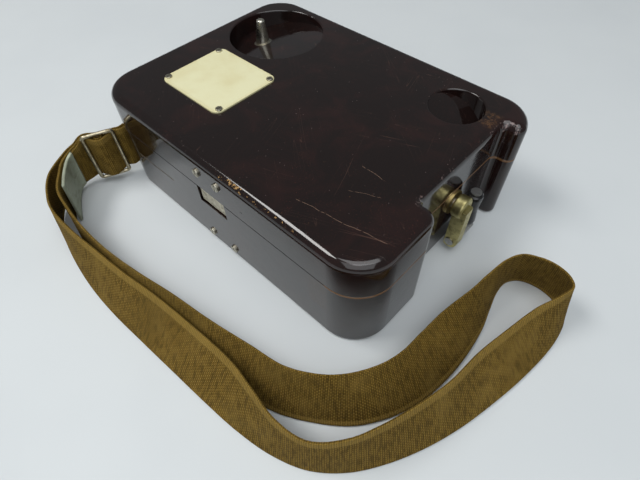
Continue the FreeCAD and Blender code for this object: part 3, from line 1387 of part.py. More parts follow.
def long_route():
    """The ribbon from the bracket past the buckle, along the front to the far turn,
    back along the inner side and round the left bend to its end on the buckle."""
    z = STRAP_FLOAT
    end = slide_end()
    near = near_layer()
    pitch = layer_pitch()
    bar_x = LEFT_X - BRACKET_REACH
    return [
        (bar_x - bracket_loop_radius(), BRACKET_Y - STRAP_FLOAT, STRAP_LIFT, 0),
        (bar_x - bracket_loop_radius(), BRACKET_Y - 4, STRAP_LIFT, 0),
        (*by_left(-7.4, 28.0), STRAP_LIFT, 0), (*by_left(-3.4, 19.4), STRAP_LIFT, 0),
        (*by_left(2.0, 10.6), STRAP_LIFT, 0), (*by_left(4.0, 1.8), STRAP_LIFT, 0),
        (*slide_point(-end, -near - pitch), STRAP_LIFT, 0),
        (*slide_point(0, -over_layer() - 0.9), STRAP_LIFT, 0),
        (*slide_point(end, -near - 2 * pitch), STRAP_LIFT, 0), (*by_left(-12.8, -33.5), 7.3, 8),
        (*by_left(-13.8, -41.8), 5.8, 10), (*by_left(-11.8, -51.0), 4.4, 11),
        (*by_left(-6.0, -60.4), 2.8, 9), (*by_left(2.4, -69.2), 1.4, 7),
        (*by_left(17.2, -78.2), 0.6, 7), (*by_left(37.0, -85.0), z, 8), (*by_left(65.0, -90.3), z, 16),
        (*by_left(93.0, -93.2), z, 25), (*by_left(123.0, -93.6), z, 31),
        (*by_right(-115.0, -92.0), z, 37), (*by_right(-80.0, -89.9), z, 39),
        (*by_right(-47.0, -87.8), z, 38), (*by_right(-23.0, -85.4), z, 29),
        (*by_right(1.0, -80.6), z, 16), (*by_right(22.6, -71.8), z, 9), (*by_right(40.2, -57.2), z, 12),
        (*by_right(53.7, -38.7), z, 18), (*by_right(65.1, -16.8), z, 24), (*by_right(74.2, 7.6), z, 29),
        (*by_right(81.4, 35.0), z, 37), (*by_right(86.4, 60.0), z, 37), (*by_right(89.6, 86.0), z, 32),
        (*by_right(89.4, 105.0), z, 20), (*by_right(86.3, 117.5), z, 12),
        (*by_right(78.0, 125.5), z, 10), (*by_right(66.5, 129.2), z, 10),
        (*by_right(55.5, 128.6), z, 10), (*by_right(47.0, 124.5), z, 9), (*by_right(41.8, 116.0), z, 3),
        (*by_right(41.8, 104.0), z, -6), (*by_right(45.6, 88.0), z, -17),
        (*by_right(49.8, 71.0), z, -28), (*by_right(52.1, 48.0), z, -40),
        (*by_right(51.6, 26.0), z, -42), (*by_right(48.0, 4.0), z, -38),
        (*by_right(40.0, -16.0), z, -34), (*by_right(27.0, -35.0), z, -31),
        (*by_right(9.0, -49.5), z, -26), (*by_right(-14.0, -62.0), z, -26),
        (*by_right(-41.0, -68.5), z, -28), (*by_right(-73.0, -73.0), z, -25),
        (*by_right(-105.0, -76.0), z, -22), (*by_left(133.0, -79.0), z, -17),
        (*by_left(100.0, -79.0), z, -10), (*by_left(71.0, -77.8), z, -7),
        (*by_left(45.0, -74.6), z, -5), (*by_left(23.0, -69.4), 0.6, -3),
        (*by_left(6.2, -61.4), 1.6, -6), (*by_left(-3.5, -54.8), 3.2, -8),
        (*by_left(-9.3, -47.7), 4.6, -10), (*by_left(-11.3, -40.6), 6.0, -10),
        (*by_left(-10.3, -33.6), 7.3, -8), (*slide_point(end, -near - pitch), STRAP_LIFT, 0),
        (*slide_point(end / 2, -ring_middle() - 1.2), STRAP_LIFT, 0),
        (*slide_point(1.0, -ring_middle()), STRAP_LIFT, 0),
    ]


def tail_route():
    """The tail, from the bracket through the buckle to the metal tip's end."""
    end = slide_end()
    near = near_layer()
    over = over_layer()
    bar_x = LEFT_X - BRACKET_REACH
    return [
        (bar_x + bracket_loop_radius(), BRACKET_Y, STRAP_LIFT, 0),
        (bar_x + bracket_loop_radius(), BRACKET_Y - 4, STRAP_LIFT, 0),
        (*by_left(-2.1, 29.0), STRAP_LIFT, 0), (*by_left(-0.6, 20.0), STRAP_LIFT, 0),
        (*by_left(5.0, 9.4), STRAP_LIFT, 0), (*by_left(7.2, 1.4), STRAP_LIFT, 0),
        (*slide_point(-end, -near), STRAP_LIFT, 0),
        (*slide_point(-0.27 * end, 0.8 * over), STRAP_LIFT, 0), (*slide_point(0, over), STRAP_LIFT, 0),
        (*slide_point(0.27 * end, 0.8 * over), STRAP_LIFT, 0),
        (*slide_point(end, -near), STRAP_LIFT, 0), (*by_left(-7.2, -34.2), 7.3, 8),
        (*by_left(-8.0, -40.8), 6.0, 10.5), (*by_left(-6.0, -47.2), 4.6, 10.5),
        (*by_left(-0.3, -52.6), 3.0, 8.5), (*by_left(8.3, -58.1), 1.6, 6.5),
        (*by_left(16.8, -62.4), 0.8, 5), (*by_left(23.6, -65.3), 0.6, 4),
    ]


def tip_start():
    """The tail's key station where the metal tip begins."""
    return 12


def route_cuts():
    """First and last key station of each stretch of the long route."""
    return {"strap_left_outer": (0, 15), "strap_front_run": (15, 22), "strap_front_bend": (22, 32),
            "strap_turn": (32, 39), "strap_back_side": (39, 48), "strap_back_run": (48, 56),
            "strap_left_inner": (56, 64)}


def strap_left_inner():
    """The ribbon's end, sewn round the buckle's middle bar."""
    first, last = route_cuts()["strap_left_inner"]
    run = ribbon(long_route(), first, last, 2, STRAP_THICKNESS, STRAP_WIDTH)
    x, y = slide_point(0, 0)
    inner = SLIDE_WIRE_RADIUS + STRAP_FIT
    ring = pipe((x, y, STRAP_LIFT), Z_AXIS, inner + STRAP_THICKNESS, inner, STRAP_WIDTH)
    return run.fuse(ring)


def bracket_loop():
    """The half turn of webbing round the bracket's bar."""
    bar = (LEFT_X - BRACKET_REACH, BRACKET_Y, STRAP_LIFT)
    inner = BRACKET_BAR_RADIUS + STRAP_FIT
    ring = pipe(bar, Z_AXIS, inner + STRAP_THICKNESS, inner, STRAP_WIDTH)
    return ring.common(box(bar[0] - 10, bar[0] + 10, BRACKET_Y, BRACKET_Y + 10, 0, 60))


def strap_tail():
    """The tail with the turn round the bracket, up to the metal tip."""
    run = ribbon(tail_route(), 0, tip_start(), 2, STRAP_THICKNESS, STRAP_WIDTH)
    return run.fuse(bracket_loop())


def strap_tip():
    """The folded sheet metal tip on the tail's end."""
    return ribbon(tail_route(), tip_start(), len(tail_route()) - 1, 2, STRAP_THICKNESS + 2 * TIP_WALL,
                  STRAP_WIDTH)


def strap_parts():
    """The strap's nodes, which meet end to end along its route."""
    made = {name: ribbon(long_route(), first, last, 2, STRAP_THICKNESS, STRAP_WIDTH)
            for name, (first, last) in route_cuts().items()}
    made["strap_left_inner"] = strap_left_inner()
    made["strap_tail"] = strap_tail()
    made["strap_tip"] = strap_tip()
    made["strap_slider"] = strap_slider()
    return made


def nodes():
    """Every sub-part by name: a shape or a list of separate solids."""
    made = {
        "lower_case": lower_case(),
        "lid": lid(),
        "deck_panel": deck_panel(),
        "deck_screws": deck_screws(),
        "writing_plate": writing_plate(),
        "plate_screws": plate_screws(),
        "hook_plunger": hook_plunger(),
        "plunger_bush": plunger_bush(),
        "hook_contacts": hook_contacts(),
        "latch_lever": latch_lever(),
        "latch_bracket": latch_bracket(),
        "latch_pin": latch_pin(),
        "latch_screws": latch_screws(),
        "lid_catch": lid_catch(),
        "catch_screws": catch_screws(),
        "hinge_leaf_lid": hinge_leaf(1, 1),
        "hinge_leaf_case": hinge_leaf(-1, 0),
        "hinge_pin": hinge_pin(),
        "hinge_screws_lid": hinge_screws(1),
        "hinge_screws_case": hinge_screws(-1),
        "crank_shaft": crank_shaft(),
        "shaft_bush": shaft_bush(),
        "crank_arm": crank_arm(),
        "grip_pivot_pin": grip_pivot_pin(),
        "grip_spindle": grip_spindle(),
        "crank_grip": crank_grip(),
        "drive_gear": drive_gear(),
        "armature_pinion": armature_pinion(),
        "armature": armature(),
        "armature_winding": armature_winding(),
        "magnets": magnets(),
        "pole_shoes": pole_shoes(),
        "magneto_frame": magneto_frame(),
        "gongs": [gong(y) for y in gong_places()],
        "gong_posts": [gong_post(y) for y in gong_places()],
        "ringer_coils": ringer_coils(),
        "ringer_yoke": ringer_yoke(),
        "clapper": clapper(),
        "battery_cell": battery_cell(),
        "induction_coil": induction_coil(),
        "condenser": condenser(),
        "terminal_studs": terminal_studs(),
        "handset_body": handset_body(),
        "ear_cap": ear_cap(),
        "mouth_cap": mouth_cap(),
        "talk_key": talk_key(),
        "strap_bracket": strap_bracket(),
        "bracket_screws": bracket_screws(),
    }
    for number, (x, y) in enumerate(terminal_places(), 1):
        made["terminal_nut_%d" % number] = terminal_nut(x, y)
    made.update(strap_parts())
    return made


def main():
    """Write one file for each sub-part."""
    os.makedirs("parts", exist_ok=True)
    for name, shape in nodes().items():
        if isinstance(shape, (list, tuple)):
            shape = Part.makeCompound(list(shape))
        if not shape.isValid():
            print("not valid:", name)
        shape.exportStep("parts/%s.step" % name)
        print(name, len(shape.Solids), round(shape.Volume))


main()
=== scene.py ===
"""Looks of a field telephone: a glossy moulded case with a folding crank, an ivory
writing plate and a long webbing strap laid out on the table.

Sizes are in metres. Routes of the webbing are in millimetres, as a maker would note
them down, and are turned into metres where the mesh is made.
"""

import logging
import math
from dataclasses import dataclass
from enum import Enum
from typing import Any, Sequence

import bmesh
import bpy
import numpy as np
from mathutils import Euler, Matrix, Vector


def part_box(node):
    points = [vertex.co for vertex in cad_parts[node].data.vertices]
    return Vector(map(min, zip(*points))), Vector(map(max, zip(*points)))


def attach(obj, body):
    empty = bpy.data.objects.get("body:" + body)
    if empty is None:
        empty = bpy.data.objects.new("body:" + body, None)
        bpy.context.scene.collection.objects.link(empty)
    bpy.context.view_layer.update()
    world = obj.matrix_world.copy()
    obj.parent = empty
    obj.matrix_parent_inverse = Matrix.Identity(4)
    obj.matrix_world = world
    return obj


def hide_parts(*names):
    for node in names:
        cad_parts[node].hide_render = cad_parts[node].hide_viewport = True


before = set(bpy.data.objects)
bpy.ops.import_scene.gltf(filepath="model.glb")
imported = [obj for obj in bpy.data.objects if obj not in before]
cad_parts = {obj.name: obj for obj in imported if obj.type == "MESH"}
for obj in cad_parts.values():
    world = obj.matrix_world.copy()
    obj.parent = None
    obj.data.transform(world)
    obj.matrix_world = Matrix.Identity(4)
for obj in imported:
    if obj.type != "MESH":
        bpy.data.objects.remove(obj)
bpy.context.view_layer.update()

LOG = logging.getLogger("field_telephone")
MM = 0.001
Colour = tuple[float, float, float]


class Signal:
    """A shader socket that takes part in sums, products and comparisons."""

    def __init__(self, graph: "Graph", socket: bpy.types.NodeSocket) -> None:
        """Keep the socket with the graph that its maths is added to."""
        self.graph = graph
        self.socket = socket

    def __add__(self, other: Any) -> "Signal":
        """This plus another."""
        return self.graph.maths("ADD", self, other)

    __radd__ = __add__

    def __sub__(self, other: Any) -> "Signal":
        """This less another."""
        return self.graph.maths("SUBTRACT", self, other)

    def __rsub__(self, other: Any) -> "Signal":
        """Another less this."""
        return self.graph.maths("SUBTRACT", other, self)

    def __mul__(self, other: Any) -> "Signal":
        """This times another."""
        return self.graph.maths("MULTIPLY", self, other)

    __rmul__ = __mul__

    def __truediv__(self, other: Any) -> "Signal":
        """This divided by another."""
        return self.graph.maths("DIVIDE", self, other)

    def __pow__(self, power: Any) -> "Signal":
        """This raised to a power."""
        return self.graph.maths("POWER", self, power)

    def __abs__(self) -> "Signal":
        """The size of this without its sign."""
        return self.graph.maths("ABSOLUTE", self)


class Graph:
    """A material and the nodes that make it."""

    def __init__(self, name: str) -> None:
        """Start a material with a principled shader.

        Args:
            name: The material's name.
        """
        self.material = bpy.data.materials.new(name)
        self.material.use_nodes = True
        self.tree = self.material.node_tree
        self.tree.nodes.clear()
        output = self.tree.nodes.new("ShaderNodeOutputMaterial")
        self.shader = self.tree.nodes.new("ShaderNodeBsdfPrincipled")
        self.tree.links.new(self.shader.outputs["BSDF"], output.inputs["Surface"])

    def node(self, kind: str, settings: dict[str, Any], sockets: dict[Any, Any],
             out: Any = 0) -> Signal:
        """Add one node.

        Args:
            kind: The node's type.
            settings: Attributes that are set first; "stops" are a ramp's places and colours.
            sockets: Values or signals for its inputs, by name or number.
            out: The output that is handed back.

        Returns:
            The chosen output.
        """
        made = self.tree.nodes.new(kind)
        stops = settings.get("stops")
        for key, value in settings.items():
            if key != "stops":
                setattr(made, key, value)
        if stops:
            elements = made.color_ramp.elements
            while len(elements) < len(stops):
                elements.new(1.0)
            for element, (place, colour) in zip(elements, stops):
                element.position = place
                element.color = (*colour, 1.0)
        for key, value in sockets.items():
            self.feed(made.inputs[key], value)
        return Signal(self, made.outputs[out])

    def feed(self, socket: bpy.types.NodeSocket, value: Any) -> None:
        """Link a signal to a socket, or write a value on it."""
        if isinstance(value, Signal):
            self.tree.links.new(value.socket, socket)
        elif isinstance(value, tuple) and len(value) == 3 and socket.type == "RGBA":
            socket.default_value = (*value, 1.0)
        else:
            socket.default_value = value

    def maths(self, operation: str, a: Any, b: Any = 0.0, c: Any = 0.0) -> Signal:
        """One Math node on up to three values."""
        return self.node("ShaderNodeMath", {"operation": operation}, {0: a, 1: b, 2: c})

    def place(self, turn: float = 0.0) -> Signal:
        """Object coordinates in millimetres, turned about the upright axis.

        Args:
            turn: Degrees.

        Returns:
            The vector.
        """
        raw = self.node("ShaderNodeTexCoord", {}, {}, "Object")
        return self.node("ShaderNodeMapping", {"vector_type": "POINT"},
                         {"Vector": raw, "Rotation": (0.0, 0.0, math.radians(turn)),
                          "Scale": (1 / MM,) * 3})

    def split(self, vector: Signal) -> tuple[Signal, Signal, Signal]:
        """The three parts of a vector."""
        made = self.tree.nodes.new("ShaderNodeSeparateXYZ")
        self.tree.links.new(vector.socket, made.inputs[0])
        return tuple(Signal(self, made.outputs[i]) for i in range(3))

    def join(self, x: Any, y: Any, z: Any) -> Signal:
        """A vector from three parts."""
        return self.node("ShaderNodeCombineXYZ", {}, {0: x, 1: y, 2: z})

    def noise(self, vector: Signal, scale: float, detail: float = 3.0, rough: float = 0.55,
              warp: float = 0.0) -> Signal:
        """A cloudy value from 0 to 1, whose scale is in cells per millimetre."""
        return self.node("ShaderNodeTexNoise", {"noise_dimensions": "3D"},
                         {"Vector": vector, "Scale": scale, "Detail": detail,
                          "Roughness": rough, "Distortion": warp}, "Fac")

    def cells(self, vector: Signal, scale: float) -> Signal:
        """The distance to the nearest of scattered points."""
        return self.node("ShaderNodeTexVoronoi", {"feature": "F1"},
                         {"Vector": vector, "Scale": scale, "Randomness": 1.0}, "Distance")

    def step(self, value: Any, low: float, high: float) -> Signal:
        """A smooth rise from 0 at low to 1 at high."""
        if low > high:
            return 1.0 - self.step(value, high, low)
        return self.node("ShaderNodeMapRange", {"interpolation_type": "SMOOTHSTEP"},
                         {"Value": value, "From Min": low, "From Max": high,
                          "To Min": 0.0, "To Max": 1.0})

    def band(self, value: Any, low: float, high: float, soft: float) -> Signal:
        """1 between two limits, with soft shoulders outside them."""
        return self.step(value, low - soft, low) * self.step(value, high + soft, high)

    def mix(self, share: Any, first: Any, second: Any) -> Signal:
        """A blend of two colours."""
        made = self.tree.nodes.new("ShaderNodeMix")
        made.data_type = "RGBA"
        sockets = {s.identifier: s for s in made.inputs}
        self.feed(sockets["Factor_Float"], share)
        self.feed(sockets["A_Color"], first)
        self.feed(sockets["B_Color"], second)
        colour = next(s for s in made.outputs if s.identifier == "Result_Color")
        return Signal(self, colour)

    def hairlines(self, turn: float, scale: float, width: float, seed: float) -> Signal:
        """Long thin scratches: the level lines of a cloud stretched along one way."""
        x, y, z = self.split(self.place(turn))
        stretched = self.join(x * 0.03 + seed, y, z)
        level = self.noise(stretched, scale, 1.0)
        line = self.step(abs(level - 0.5), width, 0.0)
        gaps = self.step(self.noise(self.place(turn + 20.0), 0.03, 2.0), 0.54, 0.62)
        return line * gaps

    def bump(self, height: Signal, distance: float, strength: float = 1.0) -> None:
        """Raise the surface by a height of 0 to 1 times a distance in metres."""
        raised = self.node("ShaderNodeBump", {},
                           {"Height": height, "Distance": distance, "Strength": strength})
        self.feed(self.shader.inputs["Normal"], raised)

    def finish(self, colour: Any, rough: Any, metal: Any = 0.0, **constants: Any) -> bpy.types.Material:
        """Feed the shader.

        Args:
            colour: Base colour.
            rough: Roughness.
            metal: Metallic.
            constants: Other inputs, with underscores for spaces.

        Returns:
            The finished material.
        """
        self.feed(self.shader.inputs["Base Color"], colour)
        self.feed(self.shader.inputs["Roughness"], rough)
        self.feed(self.shader.inputs["Metallic"], metal)
        for name, value in constants.items():
            self.feed(self.shader.inputs[name.replace("_", " ")], value)
        return self.material


class Wear(Enum):
    """Where a moulding shows use."""

    NONE = "none"
    LID = "lid"
    CASE = "case"


@dataclass(frozen=True)
class Bakelite:
    """Dark glossy moulding with reddish filler flecks, hair scratches and worn edges."""

    name: str
    dark: Colour = (0.0095, 0.0052, 0.0046)
    warm: Colour = (0.0185, 0.0072, 0.0062)
    fleck: Colour = (0.16, 0.042, 0.026)
    pale: Colour = (0.26, 0.19, 0.18)
    seam_tint: Colour = (0.17, 0.082, 0.03)
    golden: Colour = (0.52, 0.31, 0.12)
    rough: float = 0.075
    flecks: float = 1.0
    wear: Wear = Wear.NONE

    def build(self) -> bpy.types.Material:
        """Make the material.

        Returns:
            The material.
        """
        g = Graph(self.name)
        spot = g.place()
        x, y, z = g.split(spot)
        cloud = g.noise(spot, 0.028, 5.0, 0.62, 0.6)
        colour = g.mix(g.step(cloud, 0.42, 0.70), self.dark, self.warm)
        grain = g.noise(spot, 1.3, 2.0, 0.6)
        nearer = g.step(x - y, -120.0, 210.0)
        density = g.step(g.noise(spot, 0.05, 3.0), 0.40, 0.62) * (0.25 + 0.75 * nearer)
        flecks = g.step(grain, 0.66, 0.72) * density * self.flecks
        colour = g.mix(flecks * 0.55, colour, self.fleck)
        pink = g.step(g.cells(spot, 0.28), 0.10, 0.05) * g.step(g.noise(spot, 0.09, 2.0), 0.52, 0.60)
        colour = g.mix(pink * 0.5 * self.flecks, colour, self.pale)
        lines = g.hairlines(38.0, 0.16, 0.0026, 3.0) + g.hairlines(-24.0, 0.12, 0.0022, 11.0)
        lines = lines + g.hairlines(71.0, 0.10, 0.0018, 29.0)
        lines = g.maths("MINIMUM", lines, 1.0)
        colour = g.mix(lines * 0.22, colour, (0.20, 0.10, 0.07))
        smudge = g.step(g.noise(spot, 0.04, 4.0, 0.65), 0.35, 0.75)
        rough = self.rough + smudge * 0.06 + lines * 0.16 + flecks * 0.12
        if self.wear is Wear.LID:
            colour, rough = self._lid_wear(g, colour, rough, x, y, z)
        if self.wear is Wear.CASE:
            colour, rough = self._case_wear(g, colour, rough, x, y, z)
        ripple = g.noise(spot, 0.09, 2.0) * 0.8 + grain * 0.05 - lines * 0.08
        g.bump(ripple, 0.00010)
        return g.finish(colour, rough, IOR=1.52, Coat_Weight=0.15, Coat_Roughness=0.05)

    def _bay_distance(self, g: Graph, x: Signal, y: Signal) -> Signal:
        """Level distance from the crank bay, outside it, in millimetres."""
        ahead = g.maths("MAXIMUM", 120.0 - x, 0.0)
        aside = g.maths("MAXIMUM", abs(y - 19.75) - 48.75, 0.0)
        return g.maths("SQRT", ahead * ahead + aside * aside)

    def _scratch(self, g: Graph, x: Signal, y: Signal, start: tuple[float, float],
                 end: tuple[float, float], width: float) -> Signal:
        """A wavering hair scratch between two places on the lid.

        Args:
            g: The graph.
            x: Place along the lid in millimetres.
            y: Place across the lid in millimetres.
            start: One end.
            end: The other end.
            width: Its width in millimetres.

        Returns:
            1 on the scratch, 0 beside it.
        """
        length = math.dist(start, end)
        c, s = (end[0] - start[0]) / length, (end[1] - start[1]) / length
        along = (x - start[0]) * c + (y - start[1]) * s
        waver = (g.noise(g.join(along, 3.0, 1.0), 0.05, 3.0) - 0.5) * 5.0
        aside = (y - start[1]) * c - (x - start[0]) * s + waver
        broken = g.step(g.noise(g.join(along, 9.0, 4.0), 0.35, 2.0), 0.36, 0.5)
        return g.step(abs(aside), width, width * 0.3) * g.band(along, 0.0, length, 1.5) * broken

    def _lid_wear(self, g: Graph, colour: Signal, rough: Signal, x: Signal, y: Signal,
                  z: Signal) -> tuple[Signal, Signal]:
        """Chips round the bay, chips and a painted highlight on the pillar's rim, the worn near edge and the
        long scratches.
        """
        ragged = g.noise(g.place(), 0.42, 4.0, 0.7)
        crest = g.step(z, 79.0, 84.5)
        bay = g.step(self._bay_distance(g, x, y), 7.0, 1.5) * crest
        chips_and_pillar_highlight = g.step(bay * 0.3 + ragged, 0.90, 0.95) * 0.55
        # The pale ring round the pillar's top is partly chipped wear and partly a painted highlight on its
        # rounded edge.
        pillar = g.band(x, 121.0, 131.5, 2.5) * g.band(y, 63.5, 72.0, 2.5) * g.step(z, 77.0, 81.0)
        rim = g.step(abs(g.maths("SQRT", (x - 126.0) ** 2.0 + (y - 67.0) ** 2.0) - 4.6), 1.7, 0.6)
        chips_and_pillar_highlight = g.maths("MAXIMUM", chips_and_pillar_highlight, g.step(pillar * rim * 0.42 + ragged, 0.92, 0.99))
        corner = g.band(x, 118.0, 124.0, 1.5) * g.band(y, -34.0, -27.0, 1.5) * crest
        chips_and_pillar_highlight = g.maths("MAXIMUM", chips_and_pillar_highlight, g.step(corner * 0.36 + ragged, 0.90, 0.97) * 0.6)
        colour = g.mix(chips_and_pillar_highlight * 0.8, colour, self.pale)
        dust = g.band(x, 103.0, 114.0, 5.0) * g.band(y, 58.0, 70.0, 4.0) * g.step(z, 84.0, 86.5)
        colour = g.mix(dust * g.step(ragged, 0.42, 0.62) * 0.4, colour, self.seam_tint)
        edge = g.band(y, -97.2, -95.4, 0.5) * g.step(z, 80.0, 83.0) * g.band(x, 14.0, 80.0, 6.0)
        nicks = g.step(edge * 0.32 + ragged, 0.90, 0.96)
        gold = g.band(x, 21.0, 33.0, 2.0) * g.band(y, -96.6, -94.6, 0.7) * crest
        nicks = g.maths("MAXIMUM", nicks, g.step(gold * 0.44 + ragged, 0.92, 0.98))
        colour = g.mix(nicks * 0.8, colour, self.golden)
        long_line = self._scratch(g, x, y, (65.7, -78.5), (125.0, -68.5), 0.24)
        short_line = self._scratch(g, x, y, (76.6, -30.5), (93.2, -31.1), 0.24)
        third_line = self._scratch(g, x, y, (84.0, -52.0), (101.0, -44.0), 0.16)
        scores = g.maths("MAXIMUM", g.maths("MAXIMUM", long_line, short_line), third_line)
        scores = scores * g.step(z, 85.0, 86.5)
        colour = g.mix(scores * 0.45, colour, (0.36, 0.22, 0.15))
        seam = g.band(z, 56.6, 57.6, 0.4) * g.step(x, 96.0, 112.0)
        colour = g.mix(g.step(seam * 0.5 + ragged, 0.66, 0.86) * 0.8, colour, self.seam_tint)
        dot = g.maths("SQRT", (x - 32.0) ** 2.0 + (z - 66.0) ** 2.0)
        mark = g.step(dot, 1.4, 0.9) * g.step(y, -96.0, -97.0)
        colour = g.mix(mark * 0.8, colour, self.dark)
        rough = rough + chips_and_pillar_highlight * 0.3 + mark * 0.3 + scores * 0.25 + dust * 0.15
        return colour, rough

    def _case_wear(self, g: Graph, colour: Signal, rough: Signal, x: Signal, y: Signal,
                   z: Signal) -> tuple[Signal, Signal]:
        """The brown seam line, the long scrape on the near wall, scuffs at the foot and a painted reflection of
        the strap on the near wall's right part.
        """
        ragged = g.noise(g.place(), 0.42, 4.0, 0.7)
        seam = g.band(z, 55.9, 57.4, 0.5) * g.step(x, 96.0, 112.0)
        colour = g.mix(g.step(seam * 0.5 + ragged, 0.66, 0.86) * 0.85, colour, self.seam_tint)
        scrape = g.band(z - x * 0.03, 37.6, 39.6, 0.8) * g.band(x, -100.0, -57.0, 5.0)
        scrape = scrape * g.step(y, -96.0, -97.5)
        colour = g.mix(scrape * 0.75, colour, (0.085, 0.060, 0.040))
        foot = g.step(z, 4.5, 1.0)
        colour = g.mix(g.step(foot * 0.4 + ragged, 0.84, 0.98) * 0.4, colour, self.seam_tint)
        # Painted reflection: a brown patch on the right part of the near wall stands for the strap mirrored in
        # the glossy moulding.
        patch = g.band(x, 94.0, 104.0, 6.0) * g.band(z, 30.0, 52.0, 7.0) * g.step(y, -84.0, -92.0)
        colour = g.mix(patch * g.step(ragged, 0.3, 0.6) * 0.5, colour, (0.070, 0.034, 0.016))
        return colour, rough + scrape * 0.35 + patch * 0.12


@dataclass(frozen=True)
class Ivory:
    """Old ivory plastic, yellower at its rim, with faint specks."""

    name: str = "ivory_plastic"
    cream: Colour = (0.76, 0.73, 0.47)
    honey: Colour = (0.62, 0.54, 0.27)
    speck: Colour = (0.20, 0.14, 0.08)

    def build(self, centre: tuple[float, float], half: tuple[float, float]) -> bpy.types.Material:
        """Make the material.

        Args:
            centre: The plate's middle, in metres.
            half: Half its length and width, in metres.

        Returns:
            The material.
        """
        g = Graph(self.name)
        spot = g.place()
        x, y, _ = g.split(spot)
        edge_x = half[0] / MM - abs(x - centre[0] / MM)
        edge_y = half[1] / MM - abs(y - centre[1] / MM)
        rim = g.step(g.maths("MINIMUM", edge_x, edge_y), 3.2, 0.2)
        cloud = g.noise(spot, 0.05, 4.0)
        colour = g.mix(g.step(cloud, 0.35, 0.75) * 0.45, self.cream, self.honey)
        colour = g.mix(rim * 0.35, colour, self.honey)
        specks = g.step(g.noise(spot, 1.1, 1.0), 0.765, 0.80)
        colour = g.mix(specks * 0.5, colour, self.speck)
        rough = 0.34 + cloud * 0.16
        g.bump(g.noise(spot, 0.35, 3.0), 0.00005)
        return g.finish(colour, rough, IOR=1.5)


@dataclass(frozen=True)
class Metal:
    """A metal with tarnish clouds, fine turning or brushing lines and pits."""

    name: str
    bright: Colour
    tarnish: Colour
    rough: float = 0.28
    metal: float = 1.0
    cloud_scale: float = 0.16
    cloud_share: float = 0.6
    brushed: bool = True

    def build(self) -> bpy.types.Material:
        """Make the material.

        Returns:
            The material.
        """
        g = Graph(self.name)
        spot = g.place()
        x, y, z = g.split(spot)
        cloud = g.noise(spot, self.cloud_scale, 5.0, 0.68, 0.4)
        patch = g.step(cloud, 0.42, 0.72)
        colour = g.mix(patch * self.cloud_share, self.bright, self.tarnish)
        pits = g.step(g.noise(spot, 1.6, 2.0), 0.70, 0.76)
        colour = g.mix(pits * 0.6, colour, tuple(c * 0.25 for c in self.tarnish))
        lines = g.noise(g.join(x * 0.06, y * 2.2, z * 2.2), 1.0, 2.0)
        rough = self.rough + patch * 0.16 + pits * 0.2
        height = lines * (0.5 if self.brushed else 0.1) + cloud * 0.5 - pits * 0.5
        g.bump(height, 0.00006)
        return g.finish(colour, rough, self.metal)


@dataclass(frozen=True)
class Webbing:
    """Mustard khaki cotton webbing in plain weave, with rolled selvedges.

    It reads a map whose first axis runs along the strap and whose second runs round it,
    both in metres.
    """

    name: str = "khaki_webbing"
    light: Colour = (0.370, 0.240, 0.058)
    base: Colour = (0.215, 0.130, 0.021)
    deep: Colour = (0.036, 0.019, 0.003)
    yarn_along: float = 0.00135
    yarn_across: float = 0.00115
    width: float = 0.039
    thickness: float = 0.0018

    def build(self) -> bpy.types.Material:
        """Make the material.

        Returns:
            The material.
        """
        g = Graph(self.name)
        chart = g.node("ShaderNodeUVMap", {"uv_map": "weave"}, {})
        along, around, _ = g.split(chart)
        a = along / self.yarn_along
        b = around / self.yarn_across
        parity = g.maths("MODULO", g.maths("FLOOR", a) + g.maths("FLOOR", b), 2.0)
        hump_a = g.maths("SINE", g.maths("FRACT", a) * math.pi)
        hump_b = g.maths("SINE", g.maths("FRACT", b) * math.pi)
        warp = (hump_b ** 0.6) * (0.45 + 0.55 * hump_a)
        weft = (hump_a ** 0.6) * (0.45 + 0.55 * hump_b)
        height = parity * warp + (1.0 - parity) * weft * 0.8
        spot = g.place()
        fuzz = g.noise(spot, 1.9, 3.0, 0.7)
        cloud = g.noise(spot, 0.045, 4.0, 0.6)
        # The hollows between the yarns are darkened with painted shade.
        colour = g.mix(g.step(height + (fuzz - 0.5) * 0.5, 0.12, 0.72), self.deep, self.base)
        # The raised warp yarns are lightened with a painted highlight.
        lit = parity * g.step(height, 0.45, 1.0) * (0.35 + fuzz * 0.9)
        colour = g.mix(lit * 0.8, colour, self.light)
        slub = g.noise(g.join(a * 0.8, b * 0.13, 0.0), 1.0, 2.0, 0.6)
        colour = g.mix(g.step(slub, 0.56, 0.36) * 0.55, colour, self.deep)
        worn = g.step(cloud, 0.46, 0.68)
        colour = g.mix(worn * 0.22, colour, self.light)
        soiled = g.step(g.noise(spot, 0.022, 3.0), 0.52, 0.68)
        colour = g.mix(soiled * 0.28, colour, (0.090, 0.060, 0.014))
        across = g.maths("PINGPONG", around, self.width + self.thickness)
        selvedge = g.step(across, 0.0032, 0.0018) + g.step(across, self.width - 0.0016, self.width)
        ribs = g.maths("SINE", a * math.pi * 2.0) * 0.5 + 0.5
        selvedge = g.maths("MINIMUM", selvedge, 1.0)
        colour = g.mix(selvedge * (0.25 + 0.5 * ribs), colour, self.light)
        rough = 0.86 + fuzz * 0.12
        g.bump(height * 0.8 + fuzz * 0.35 + slub * 0.5 + selvedge * ribs * 0.5, 0.00065)
        return g.finish(colour, rough, Specular_IOR_Level=0.12, Sheen_Weight=0.07,
                        Sheen_Roughness=0.45, Sheen_Tint=(0.62, 0.46, 0.16, 1.0))


